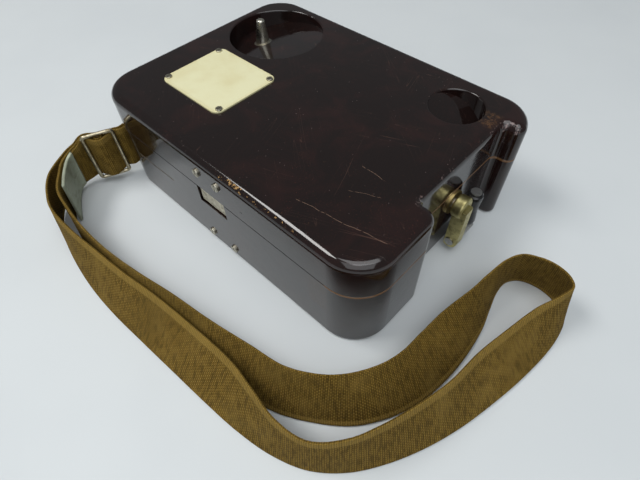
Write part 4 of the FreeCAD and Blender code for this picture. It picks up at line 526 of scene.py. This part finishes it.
@dataclass(frozen=True)
class Windings:
    """Cloth-covered wire wound in fine turns round a coil that lies along X."""

    name: str = "wound_wire"
    colour: Colour = (0.11, 0.16, 0.07)
    groove: Colour = (0.02, 0.025, 0.012)
    pitch: float = 0.8

    def build(self) -> bpy.types.Material:
        """Make the material.

        Returns:
            The material.
        """
        g = Graph(self.name)
        spot = g.place()
        x, _, _ = g.split(spot)
        turns = g.maths("SINE", x * (2 * math.pi / self.pitch)) * 0.5 + 0.5
        fuzz = g.noise(spot, 1.4, 3.0)
        # The darker grooves between the turns are painted shade.
        colour = g.mix(turns * (0.7 + fuzz * 0.5), self.groove, self.colour)
        g.bump(turns + fuzz * 0.3, 0.0003)
        return g.finish(colour, 0.7 + fuzz * 0.2)


@dataclass(frozen=True)
class Carton:
    """Waxed brown card of a dry cell, with fibres, rubbed edges and wax clouds."""

    name: str = "waxed_card"
    base: Colour = (0.30, 0.19, 0.085)
    dark: Colour = (0.14, 0.08, 0.035)

    def build(self) -> bpy.types.Material:
        """Make the material.

        Returns:
            The material.
        """
        g = Graph(self.name)
        spot = g.place()
        x, y, z = g.split(spot)
        fibre = g.noise(g.join(x * 0.2, y * 0.2, z), 1.1, 4.0, 0.7)
        cloud = g.noise(spot, 0.07, 4.0)
        colour = g.mix(g.step(cloud, 0.4, 0.7) * 0.6, self.base, self.dark)
        colour = g.mix(g.step(fibre, 0.6, 0.75) * 0.3, colour, (0.42, 0.31, 0.17))
        g.bump(fibre + cloud, 0.0001)
        return g.finish(colour, 0.45 + fibre * 0.3)


@dataclass(frozen=True)
class TableTop:
    """The pale, slightly mottled top that everything stands on."""

    name: str = "pale_table"
    base: Colour = (0.66, 0.69, 0.70)
    dark: Colour = (0.60, 0.63, 0.645)

    def build(self) -> bpy.types.Material:
        """Make the material.

        Returns:
            The material.
        """
        g = Graph(self.name)
        spot = g.place()
        cloud = g.noise(spot, 0.006, 3.0)
        colour = g.mix(g.step(cloud, 0.35, 0.7) * 0.4, self.base, self.dark)
        return g.finish(colour, 0.5 + cloud * 0.1, Specular_IOR_Level=0.3)


class Finishes:
    """Every material of the telephone, made once."""

    def __init__(self) -> None:
        """Build the materials."""
        self.case = Bakelite("moulded_case", wear=Wear.CASE).build()
        self.lid = Bakelite("moulded_lid", wear=Wear.LID).build()
        self.deck = Bakelite("moulded_deck", dark=(0.012, 0.009, 0.008), warm=(0.022, 0.013, 0.011),
                             rough=0.32, flecks=0.4).build()
        self.handset = Bakelite("moulded_handset", dark=(0.006, 0.005, 0.005),
                                warm=(0.012, 0.008, 0.007), rough=0.12, flecks=0.25).build()
        self.grip = Bakelite("black_grip", dark=(0.009, 0.009, 0.010), warm=(0.016, 0.015, 0.016),
                             rough=0.26, flecks=0.3).build()
        self.nickel = Metal("worn_nickel", (0.66, 0.63, 0.54), (0.30, 0.25, 0.17), 0.24).build()
        self.latch = Metal("blotchy_nickel", (0.56, 0.52, 0.40), (0.27, 0.22, 0.13), 0.34,
                           cloud_scale=0.3, cloud_share=0.9, brushed=False).build()
        self.screws = Metal("screw_nickel", (0.50, 0.47, 0.38), (0.16, 0.13, 0.09), 0.3,
                            cloud_scale=0.5).build()
        self.buckle = Metal("buckle_nickel", (0.47, 0.42, 0.30), (0.22, 0.17, 0.09), 0.36,
                            cloud_scale=0.25, cloud_share=0.8).build()
        self.steel = Metal("grey_steel", (0.42, 0.42, 0.41), (0.19, 0.16, 0.13), 0.36).build()
        self.brass = Metal("olive_brass", (0.52, 0.46, 0.21), (0.19, 0.16, 0.065), 0.36,
                           cloud_scale=0.22, cloud_share=0.8).build()
        self.gear_brass = Metal("gear_brass", (0.62, 0.48, 0.20), (0.34, 0.24, 0.09), 0.3).build()
        self.magnet = Metal("black_magnet", (0.035, 0.035, 0.038), (0.09, 0.06, 0.045), 0.4,
                            metal=0.6).build()
        self.tip = Metal("grey_green_tip", (0.36, 0.39, 0.29), (0.19, 0.19, 0.13), 0.5, metal=0.35,
                         cloud_scale=0.12, brushed=False).build()
        self.gong = Metal("gong_nickel", (0.60, 0.58, 0.53), (0.36, 0.32, 0.25), 0.16).build()
        self.webbing = Webbing().build()
        self.winding = Windings().build()
        self.carton = Carton().build()


def new_piece(name: str, points: np.ndarray, faces: Sequence[Sequence[int]],
              material: bpy.types.Material) -> bpy.types.Object:
    """Make a mesh object at the origin.

    Args:
        name: The piece's name.
        points: Corners, one row each, in metres.
        faces: Corner numbers of each face.
        material: Its finish.

    Returns:
        The object, smooth, with sharp edges where faces meet at more than 40 degrees.
    """
    mesh = bpy.data.meshes.new(name)
    mesh.from_pydata(np.asarray(points, float).tolist(), [], [list(map(int, f)) for f in faces])
    mesh.update()
    mesh.shade_smooth()
    mesh.set_sharp_from_angle(angle=math.radians(40.0))
    piece = bpy.data.objects.new(name, mesh)
    bpy.context.scene.collection.objects.link(piece)
    mesh.materials.append(material)
    return piece


def grid_faces(rows: int, columns: int, around: bool) -> np.ndarray:
    """Four-cornered faces of a grid of points.

    Args:
        rows: Rows of points.
        columns: Points in a row.
        around: Whether each row closes on itself.

    Returns:
        One face to a row: corner (i, j), (i, j+1), (i+1, j+1), (i+1, j).
    """
    i, j = np.meshgrid(np.arange(rows - 1), np.arange(columns if around else columns - 1),
                       indexing="ij")
    after = (j + 1) % columns
    corners = (i * columns + j, i * columns + after, (i + 1) * columns + after, (i + 1) * columns + j)
    return np.stack(corners, -1).reshape(-1, 4)


def dress(names: Sequence[str], material: bpy.types.Material) -> None:
    """Give carried-over nodes their finish."""
    for name in names:
        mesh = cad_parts[name].data
        mesh.materials.clear()
        mesh.materials.append(material)


def refined_copy(node: str, name: str, body: str, material: bpy.types.Material, slot: str,
                 bevel: float = 0.0) -> bpy.types.Object:
    """A node's shape with its corners merged, its curves smooth and its edges eased.

    Args:
        node: The node that it stands for.
        name: The piece's name.
        body: The body that it rides on.
        material: Its finish.
        slot: The record's material slot; not used.
        bevel: Width of the eased edges, in metres.

    Returns:
        The piece.
    """
    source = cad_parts[node]
    mesh = source.data.copy()
    mesh.name = name
    if mesh.has_custom_normals:
        mesh.attributes.remove(mesh.attributes["custom_normal"])
    work = bmesh.new()
    work.from_mesh(mesh)
    bmesh.ops.remove_doubles(work, verts=work.verts, dist=2e-6)
    bmesh.ops.dissolve_limit(work, angle_limit=math.radians(0.4), verts=work.verts, edges=work.edges,
                             delimit={"NORMAL"})
    work.to_mesh(mesh)
    work.free()
    mesh.shade_smooth()
    mesh.set_sharp_from_angle(angle=math.radians(32.0))
    mesh.materials.clear()
    mesh.materials.append(material)
    piece = bpy.data.objects.new(name, mesh)
    bpy.context.scene.collection.objects.link(piece)
    if bevel:
        eased = piece.modifiers.new("eased_edges", "BEVEL")
        eased.width = bevel
        eased.segments = 2
        eased.limit_method = "ANGLE"
        eased.angle_limit = math.radians(40.0)
        eased.use_clamp_overlap = True
    weights = piece.modifiers.new("flat_faces_lead", "WEIGHTED_NORMAL")
    weights.keep_sharp = True
    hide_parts(node)
    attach(piece, body)
    LOG.info("%s stands for %s", name, node)
    return piece


@dataclass
class Case:
    """The moulded case, its lid, hinge, deck and what is screwed to them."""

    finishes: Finishes

    def build(self) -> None:
        """Dress every part of the case."""
        f = self.finishes
        dress(["lower_case", "hook_contacts"], f.case)
        dress(["lid"], f.lid)
        dress(["deck_panel"], f.deck)
        dress(["deck_screws", "latch_screws", "catch_screws", "hinge_screws_lid",
               "hinge_screws_case", "bracket_screws"], f.screws)
        dress(["hinge_leaf_lid", "hinge_leaf_case", "hinge_pin", "latch_bracket", "latch_pin",
               "lid_catch", "strap_bracket"], f.steel)
        dress(["latch_lever"], f.latch)
        LOG.info("case dressed")


@dataclass
class WritingPlate:
    """The blank ivory plate and its screws."""

    finishes: Finishes

    def build(self) -> None:
        """Dress the plate with a finish that knows where its rim is."""
        low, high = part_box("writing_plate")
        middle = (low + high) / 2
        half = (high - low) / 2
        ivory = Ivory().build((middle.x, middle.y), (half.x, half.y))
        dress(["writing_plate"], ivory)
        dress(["plate_screws"], self.finishes.screws)
        LOG.info("writing plate dressed")


@dataclass
class Crank:
    """The crank, its grip and the generator inside the case."""

    finishes: Finishes

    def build(self) -> None:
        """Dress the crank and the generator."""
        f = self.finishes
        dress(["crank_arm"], f.brass)
        dress(["crank_shaft", "grip_pivot_pin", "grip_spindle", "armature", "pole_shoes"], f.steel)
        dress(["crank_grip"], f.grip)
        dress(["shaft_bush", "drive_gear", "armature_pinion", "magneto_frame"], f.gear_brass)
        dress(["armature_winding"], f.winding)
        dress(["magnets"], f.magnet)
        LOG.info("crank and generator dressed")


@dataclass
class Interior:
    """What lies under the lid: the handset, ringer, cell, coil and terminals."""

    finishes: Finishes

    def build(self) -> None:
        """Dress the inner parts."""
        f = self.finishes
        dress(["handset_body", "ear_cap", "mouth_cap", "talk_key"], f.handset)
        dress(["gongs"], f.gong)
        dress(["gong_posts", "ringer_yoke", "clapper", "condenser"], f.steel)
        dress(["ringer_coils", "induction_coil"], f.winding)
        dress(["battery_cell"], f.carton)
        dress(["terminal_studs", "terminal_nut_1", "terminal_nut_2"], f.gear_brass)
        dress(["hook_plunger", "plunger_bush"], f.nickel)
        LOG.info("inner parts dressed")


@dataclass
class Strap:
    """The webbing: one ribbon from the sewn end on the buckle, round the table and the
    bracket, and through the buckle to the metal tip. Lengths are in millimetres."""

    finishes: Finishes
    width: float = 39.0
    thickness: float = 1.8
    lift: float = 9.3
    rest: float = 0.1
    fit: float = 0.25
    pitch: float = 2.6
    slide_x: float = -132.5
    slide_y: float = -115.0
    slide_heading: float = 247.8
    slide_half: float = 12.0
    wire: float = 1.6
    bracket_x: float = -140.7
    bracket_y: float = -58.0
    bracket_bar: float = 2.0
    steps: int = 14
    tip_start: int = 12

    @property
    def near(self) -> float:
        """How far aside the tail passes an outer bar of the buckle."""
        return self.wire + self.thickness / 2 + 0.6

    @property
    def ring_middle(self) -> float:
        """Radius of the sewn end's middle round the buckle's middle bar."""
        return self.wire + self.fit + self.thickness / 2

    @property
    def over(self) -> float:
        """How far aside the tail passes over the sewn end."""
        return self.ring_middle + self.thickness + 0.4

    @property
    def loop_radius(self) -> float:
        """Radius of the webbing's middle round the bracket's bar."""
        return self.bracket_bar + self.fit + self.thickness / 2

    def slide_point(self, along: float, aside: float) -> tuple[float, float]:
        """A place by the buckle: along its heading, and aside to the left of it."""
        turn = math.radians(self.slide_heading)
        x = self.slide_x + math.cos(turn) * along - math.sin(turn) * aside
        y = self.slide_y + math.sin(turn) * along + math.cos(turn) * aside
        return (x, y)

    def long_route(self) -> np.ndarray:
        """Key stations (x, y, z, lean) from the bracket round the table to the buckle."""
        z, lift, end, near, pitch = self.rest, self.lift, self.slide_half, self.near, self.pitch
        outer = self.bracket_x - self.loop_radius
        return np.array([
            (outer, self.bracket_y - z, lift, 0), (outer, self.bracket_y - 4, lift, 0),
            (-142.4, -70.0, lift, 0), (-138.4, -78.6, lift, 0), (-133.0, -87.4, lift, 0),
            (-131.0, -96.2, lift, 0), (*self.slide_point(-end, -near - pitch), lift, 0),
            (*self.slide_point(0, -self.over - 0.9), lift, 0),
            (*self.slide_point(end, -near - 2 * pitch), lift, 0),
            (-147.8, -131.5, 7.3, 8), (-148.8, -139.8, 5.8, 10), (-146.8, -149.0, 4.4, 11),
            (-141.0, -158.4, 2.8, 9), (-132.6, -167.2, 1.4, 7), (-117.8, -176.2, 0.6, 7),
            (-98.0, -183.0, z, 8), (-70.0, -188.3, z, 16), (-42.0, -191.2, z, 25), (-12.0, -191.6, z, 31),
            (20.0, -190.0, z, 37), (55.0, -187.9, z, 39), (88.0, -185.8, z, 38), (112.0, -183.4, z, 29),
            (136.0, -178.6, z, 16), (157.6, -169.8, z, 9), (175.2, -155.2, z, 12), (188.7, -136.7, z, 18),
            (200.1, -114.8, z, 24), (209.2, -90.4, z, 29), (216.4, -63.0, z, 37), (221.4, -38.0, z, 37),
            (224.6, -12.0, z, 32), (224.4, 7.0, z, 20), (221.3, 19.5, z, 12), (213.0, 27.5, z, 10),
            (201.5, 31.2, z, 10), (190.5, 30.6, z, 10), (182.0, 26.5, z, 9), (176.8, 18.0, z, 3),
            (176.8, 6.0, z, -6), (180.6, -10.0, z, -17), (184.8, -27.0, z, -28), (187.1, -50.0, z, -40),
            (186.6, -72.0, z, -42), (183.0, -94.0, z, -38), (175.0, -114.0, z, -34), (162.0, -133.0, z, -31),
            (144.0, -147.5, z, -26), (121.0, -160.0, z, -26), (94.0, -166.5, z, -28), (62.0, -171.0, z, -25),
            (30.0, -174.0, z, -22), (-2.0, -177.0, z, -17), (-35.0, -177.0, z, -10), (-64.0, -175.8, z, -7),
            (-90.0, -172.6, z, -5), (-112.0, -167.4, 0.6, -3), (-128.8, -159.4, 1.6, -6),
            (-138.5, -152.8, 3.2, -8), (-144.3, -145.7, 4.6, -10), (-146.3, -138.6, 6.0, -10),
            (-145.3, -131.6, 7.3, -8), (*self.slide_point(end, -near - pitch), lift, 0),
            (*self.slide_point(end / 2, -self.ring_middle - 1.2), lift, 0),
            (*self.slide_point(1.0, -self.ring_middle), lift, 0),
        ])

    def tail_route(self) -> np.ndarray:
        """Key stations of the tail, from the bracket through the buckle to the tip's end."""
        lift, end, near, over = self.lift, self.slide_half, self.near, self.over
        inner = self.bracket_x + self.loop_radius
        return np.array([
            (inner, self.bracket_y, lift, 0), (inner, self.bracket_y - 4, lift, 0),
            (-137.1, -69.0, lift, 0), (-135.6, -78.0, lift, 0), (-130.0, -88.6, lift, 0),
            (-127.8, -96.6, lift, 0), (*self.slide_point(-end, -near), lift, 0),
            (*self.slide_point(-0.27 * end, 0.8 * over), lift, 0), (*self.slide_point(0, over), lift, 0),
            (*self.slide_point(0.27 * end, 0.8 * over), lift, 0), (*self.slide_point(end, -near), lift, 0),
            (-142.2, -132.2, 7.3, 8), (-143.0, -138.8, 6.0, 10.5), (-141.0, -145.2, 4.6, 10.5),
            (-135.3, -150.6, 3.0, 8.5), (-126.7, -156.1, 1.6, 6.5), (-118.2, -160.4, 0.8, 5),
            (-111.4, -163.3, 0.6, 4),
        ])

    def smooth(self, keys: np.ndarray) -> np.ndarray:
        """Stations on a smooth curve through every key station.

        Between keys b and c, with a before and d after, a station at share t is
        half of 2b + (c - a) t + (2a - 5b + 4c - d) t^2 + (3b - a - 3c + d) t^3.

        Args:
            keys: Key stations, one row each.

        Returns:
            The stations, with a fixed number from key to key.
        """
        padded = np.vstack([keys[:1], keys, keys[-1:]])
        a, b, c, d = (padded[i:len(padded) - 3 + i, None, :] for i in range(4))
        t = (np.arange(self.steps) / self.steps)[None, :, None]
        spans = 0.5 * (2 * b + (c - a) * t + (2 * a - 5 * b + 4 * c - d) * t ** 2
                       + (3 * b - a - 3 * c + d) * t ** 3)
        return np.vstack([spans.reshape(-1, keys.shape[1]), keys[-1:]])

    def frames(self, stations: np.ndarray) -> tuple[np.ndarray, np.ndarray, np.ndarray]:
        """Lower edge, rise and thickness directions of a leaning ribbon.

        The way is the central difference of the stations, its left is a quarter turn
        from it, and the rise tips from upright towards the left by the lean.

        Args:
            stations: Rows of x, y, z and lean in degrees.

        Returns:
            Middle of the lower edge, unit rise and unit thickness direction, one row each.
        """
        way = np.gradient(stations[:, :2], axis=0)
        way /= np.linalg.norm(way, axis=1, keepdims=True)
        lean = np.radians(stations[:, 3])
        left = np.column_stack([-way[:, 1], way[:, 0]])
        rise = np.column_stack([left * np.sin(lean)[:, None], np.cos(lean)])
        across = np.column_stack([left * np.cos(lean)[:, None], -np.sin(lean)])
        low = stations[:, :3].copy()
        low[:, 2] += np.abs(across[:, 2]) * self.thickness / 2
        return low, rise, across

    def turn(self, centre: tuple[float, float], radius: float, start: float, sweep: float,
             count: int) -> tuple[np.ndarray, np.ndarray, np.ndarray]:
        """An upright ribbon round a bar.

        A station at angle A lies at the centre plus the radius times (cos A, sin A), and
        its thickness direction points along minus or plus that radius, to the way's left.

        Args:
            centre: The bar's x and y.
            radius: Radius of the ribbon's middle.
            start: First angle in degrees.
            sweep: Degrees turned, against the clock when positive.
            count: Stations.

        Returns:
            Lower edge, rise and thickness directions.
        """
        angle = np.radians(start + sweep * np.linspace(0.0, 1.0, count + 2)[1:-1])
        out = np.column_stack([np.cos(angle), np.sin(angle), np.zeros(count)])
        low = out * radius + np.array([centre[0], centre[1], self.lift])
        rise = np.tile([0.0, 0.0, 1.0], (count, 1))
        return low, rise, out * (-1.0 if sweep > 0 else 1.0)

    def section(self) -> np.ndarray:
        """The webbing's section: straight faces, round edges and slightly fuller selvedges.

        Points run round a slot shape: half circles of the half thickness at both edges,
        joined by straight faces, and the faces swell by a tenth near the edges.

        Returns:
            Rows of (place across the thickness, place up the width).
        """
        half = self.thickness / 2
        bend = np.radians(np.linspace(0.0, 180.0, 7))
        rise = np.concatenate([np.linspace(0.0, 3.0, 5)[1:], np.linspace(3.0, self.width - 3 - 2 * half, 9)[1:],
                               self.width - 2 * half - np.linspace(3.0, 0.0, 5)[1:-1]])
        swell = 0.92 + 0.08 * np.cos(np.minimum(rise, self.width - 2 * half - rise) / 3.0 * math.pi / 2).clip(0)
        right = np.column_stack([half * swell, half + rise])
        top = np.column_stack([half * np.cos(bend), self.width - half + half * np.sin(bend)])
        left = np.column_stack([-half * swell[::-1], half + rise[::-1]])
        foot = np.column_stack([-half * np.cos(bend), half - half * np.sin(bend)])
        return np.vstack([right, top, left, foot])

    def ribbon(self, name: str, parts: Sequence[tuple[np.ndarray, np.ndarray, np.ndarray]],
               section: np.ndarray, material: bpy.types.Material) -> tuple[bpy.types.Object, float]:
        """Sweep a section along stations and give it a map in metres.

        A point is the lower edge plus the rise times its height plus the thickness
        direction times its depth.

        Args:
            name: The piece's name.
            parts: Stretches of lower edge, rise and thickness directions, end to end.
            section: Rows of (depth, height).
            material: Its finish.

        Returns:
            The piece and its length in millimetres.
        """
        low, rise, across = (np.vstack([p[i] for p in parts]) for i in range(3))
        rows, columns = len(low), len(section)
        points = (low[:, None] + rise[:, None] * section[None, :, 1:2]
                  + across[:, None] * section[None, :, 0:1]) * MM
        middle = low + rise * (self.width / 2)
        run = np.concatenate([[0.0], np.cumsum(np.linalg.norm(np.diff(middle, axis=0), axis=1))])
        closed = np.vstack([section, section[:1]])
        round_it = np.concatenate([[0.0], np.cumsum(np.linalg.norm(np.diff(closed, axis=0), axis=1))])
        faces = grid_faces(rows, columns, True)
        ends = [list(range(columns))[::-1], [(rows - 1) * columns + j for j in range(columns)]]
        piece = new_piece(name, points.reshape(-1, 3), [*faces.tolist(), *ends], material)
        chart = piece.data.uv_layers.new(name="weave")
        row, column = np.divmod(faces, columns)
        wrapped = np.where((column == 0) & (np.arange(4) % 3 != 0)[None, :], columns, column)
        u = run[row] * MM
        v = round_it[wrapped] * MM
        corner = np.stack([u, v], -1).reshape(-1)
        flat = np.concatenate([corner, np.zeros(2 * 2 * columns)]).astype(np.float32)
        chart.data.foreach_set("uv", flat)
        self.face_out(piece)
        return piece, float(run[-1])

    def face_out(self, piece: bpy.types.Object) -> None:
        """Turn a closed piece's faces outwards."""
        work = bmesh.new()
        work.from_mesh(piece.data)
        bmesh.ops.recalc_face_normals(work, faces=work.faces)
        work.to_mesh(piece.data)
        work.free()

    def webbing(self) -> bpy.types.Object:
        """The whole ribbon, from inside the metal tip to its sewn end on the buckle.

        Returns:
            The piece.
        """
        tail = self.frames(self.smooth(self.tail_route())[:-3 * self.steps])
        back = (tail[0][::-1], tail[1][::-1], -tail[2][::-1])
        round_bar = self.turn((self.bracket_x, self.bracket_y), self.loop_radius, 0.0, 180.0, 12)
        run = self.frames(self.smooth(self.long_route()))
        wrap = self.turn((self.slide_x, self.slide_y), self.ring_middle,
                         self.slide_heading - 85.0, -285.0, 22)
        piece, length = self.ribbon("strap_webbing", [back, round_bar, run, wrap], self.section(),
                                    self.finishes.webbing)
        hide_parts("strap_left_outer", "strap_front_run", "strap_front_bend", "strap_turn",
                    "strap_back_side", "strap_back_run", "strap_left_inner", "strap_tail")
        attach(piece, "case")
        LOG.info("%s is %.0f mm long", piece.name, length)
        return piece

    def tip(self) -> bpy.types.Object:
        """The folded sheet metal tip, with a toothed edge pressed into the webbing.

        Its section is a slot shape a little larger than the webbing's. The first row is
        drawn forwards and back in a zigzag along the width, which makes the teeth.

        Returns:
            The piece.
        """
        keys = self.tail_route()
        stations = self.smooth(keys)[self.tip_start * self.steps:]
        low, rise, across = self.frames(stations)
        outer = self.section()
        half = self.thickness / 2
        skin = np.column_stack([np.sign(outer[:, 0]) * (np.abs(outer[:, 0]) + 0.42), outer[:, 1]])
        skin[:, 1] = (skin[:, 1] - self.width / 2) * (1 + 0.02) + self.width / 2
        skin[:, 1] = np.maximum(skin[:, 1], 0.0)
        part = (low, rise, across)
        piece, _ = self.ribbon("strap_tip_metal", [part], skin, self.finishes.tip)
        mesh = piece.data
        points = np.zeros(len(mesh.vertices) * 3)
        mesh.vertices.foreach_get("co", points)
        points = points.reshape(len(low), len(skin), 3)
        way = np.gradient(low, axis=0)
        way /= np.linalg.norm(way, axis=1, keepdims=True)
        teeth = np.abs(((skin[:, 1] / 3.0) % 1.0) - 0.5) * 2.0
        points[0] += way[0] * (teeth[:, None] * 1.6) * MM
        closing = np.clip((np.arange(len(low)) - (len(low) - 5)) / 4.0, 0.0, 1.0)[:, None, None]
        centre = points.mean(axis=1, keepdims=True)
        spread = points - centre
        depth = (spread * across[:, None, :]).sum(-1, keepdims=True) * across[:, None, :]
        points -= depth * closing * 0.45
        mesh.vertices.foreach_set("co", points.reshape(-1))
        mesh.update()
        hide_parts("strap_tip")
        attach(piece, "case")
        LOG.info("%s made, %.1f mm thick", piece.name, 2 * half + 0.84)
        return piece

    def build(self) -> None:
        """Make the webbing and its tip and dress the buckle."""
        self.webbing()
        self.tip()
        dress(["strap_slider"], self.finishes.buckle)


@dataclass
class Studio:
    """Table, lights and camera."""

    camera_place: tuple[float, float, float] = (0.2036, -0.1991, 0.2854)
    camera_turn: tuple[float, float, float] = (37.47, 1.17, 43.26)
    lens: float = 25.34
    sensor: float = 36.0
    half_table: float = 3.0

    def table(self) -> None:
        """A wide pale table under the telephone."""
        s = self.half_table
        points = np.array([(-s, -s, -0.0003), (s, -s, -0.0003), (s, s, -0.0003), (-s, s, -0.0003)])
        top = new_piece("table", points, [(0, 1, 2, 3)], TableTop().build())

    def lamp(self, name: str, place: tuple[float, float, float], aim: tuple[float, float, float],
             size: tuple[float, float], watts: float, colour: Colour) -> None:
        """A soft rectangular light that looks at a point."""
        data = bpy.data.lights.new(name, "AREA")
        data.shape = "RECTANGLE"
        data.size, data.size_y = size
        data.energy = watts
        data.color = colour
        lamp = bpy.data.objects.new(name, data)
        lamp.location = place
        lamp.rotation_euler = (Vector(aim) - Vector(place)).to_track_quat("-Z", "Y").to_euler()
        bpy.context.scene.collection.objects.link(lamp)

    def lights(self) -> None:
        """Soft daylight from above and behind, and a dim bright room all round."""
        world = bpy.data.worlds.new("room")
        world.use_nodes = True
        background = world.node_tree.nodes["Background"]
        background.inputs["Color"].default_value = (0.90, 0.96, 1.0, 1.0)
        background.inputs["Strength"].default_value = 0.17
        bpy.context.scene.world = world
        self.lamp("window", (-0.85, -0.75, 1.75), (0.0, 0.0, 0.0), (0.9, 0.6), 18.0, (1.0, 0.99, 0.97))
        self.lamp("ceiling", (0.5, -0.2, 2.6), (0.0, 0.0, 0.0), (1.8, 1.8), 26.0, (0.96, 0.98, 1.0))
        self.lamp("fill", (1.2, -1.2, 1.6), (0.05, -0.05, 0.0), (2.2, 2.2), 21.0, (0.93, 0.97, 1.0))

    def camera(self) -> None:
        """The camera at the photograph's place and angle."""
        data = bpy.data.cameras.new("camera")
        data.lens = self.lens
        data.sensor_width = self.sensor
        data.clip_start = 0.01
        camera = bpy.data.objects.new("camera", data)
        camera.location = self.camera_place
        camera.rotation_euler = Euler([math.radians(a) for a in self.camera_turn], "XYZ")
        bpy.context.scene.collection.objects.link(camera)
        bpy.context.scene.camera = camera

    def build(self) -> None:
        """Set the studio up."""
        self.table()
        self.lights()
        self.camera()
        bpy.context.scene.view_settings.view_transform = "Standard"
        LOG.info("studio ready")


def main() -> None:
    """Build the telephone's looks in order."""
    logging.basicConfig(level=logging.INFO, format="%(name)s: %(message)s")
    finishes = Finishes()
    Studio().build()
    Strap(finishes).build()
    Case(finishes).build()
    WritingPlate(finishes).build()
    Crank(finishes).build()
    Interior(finishes).build()


if __name__ == "__main__":
    main()
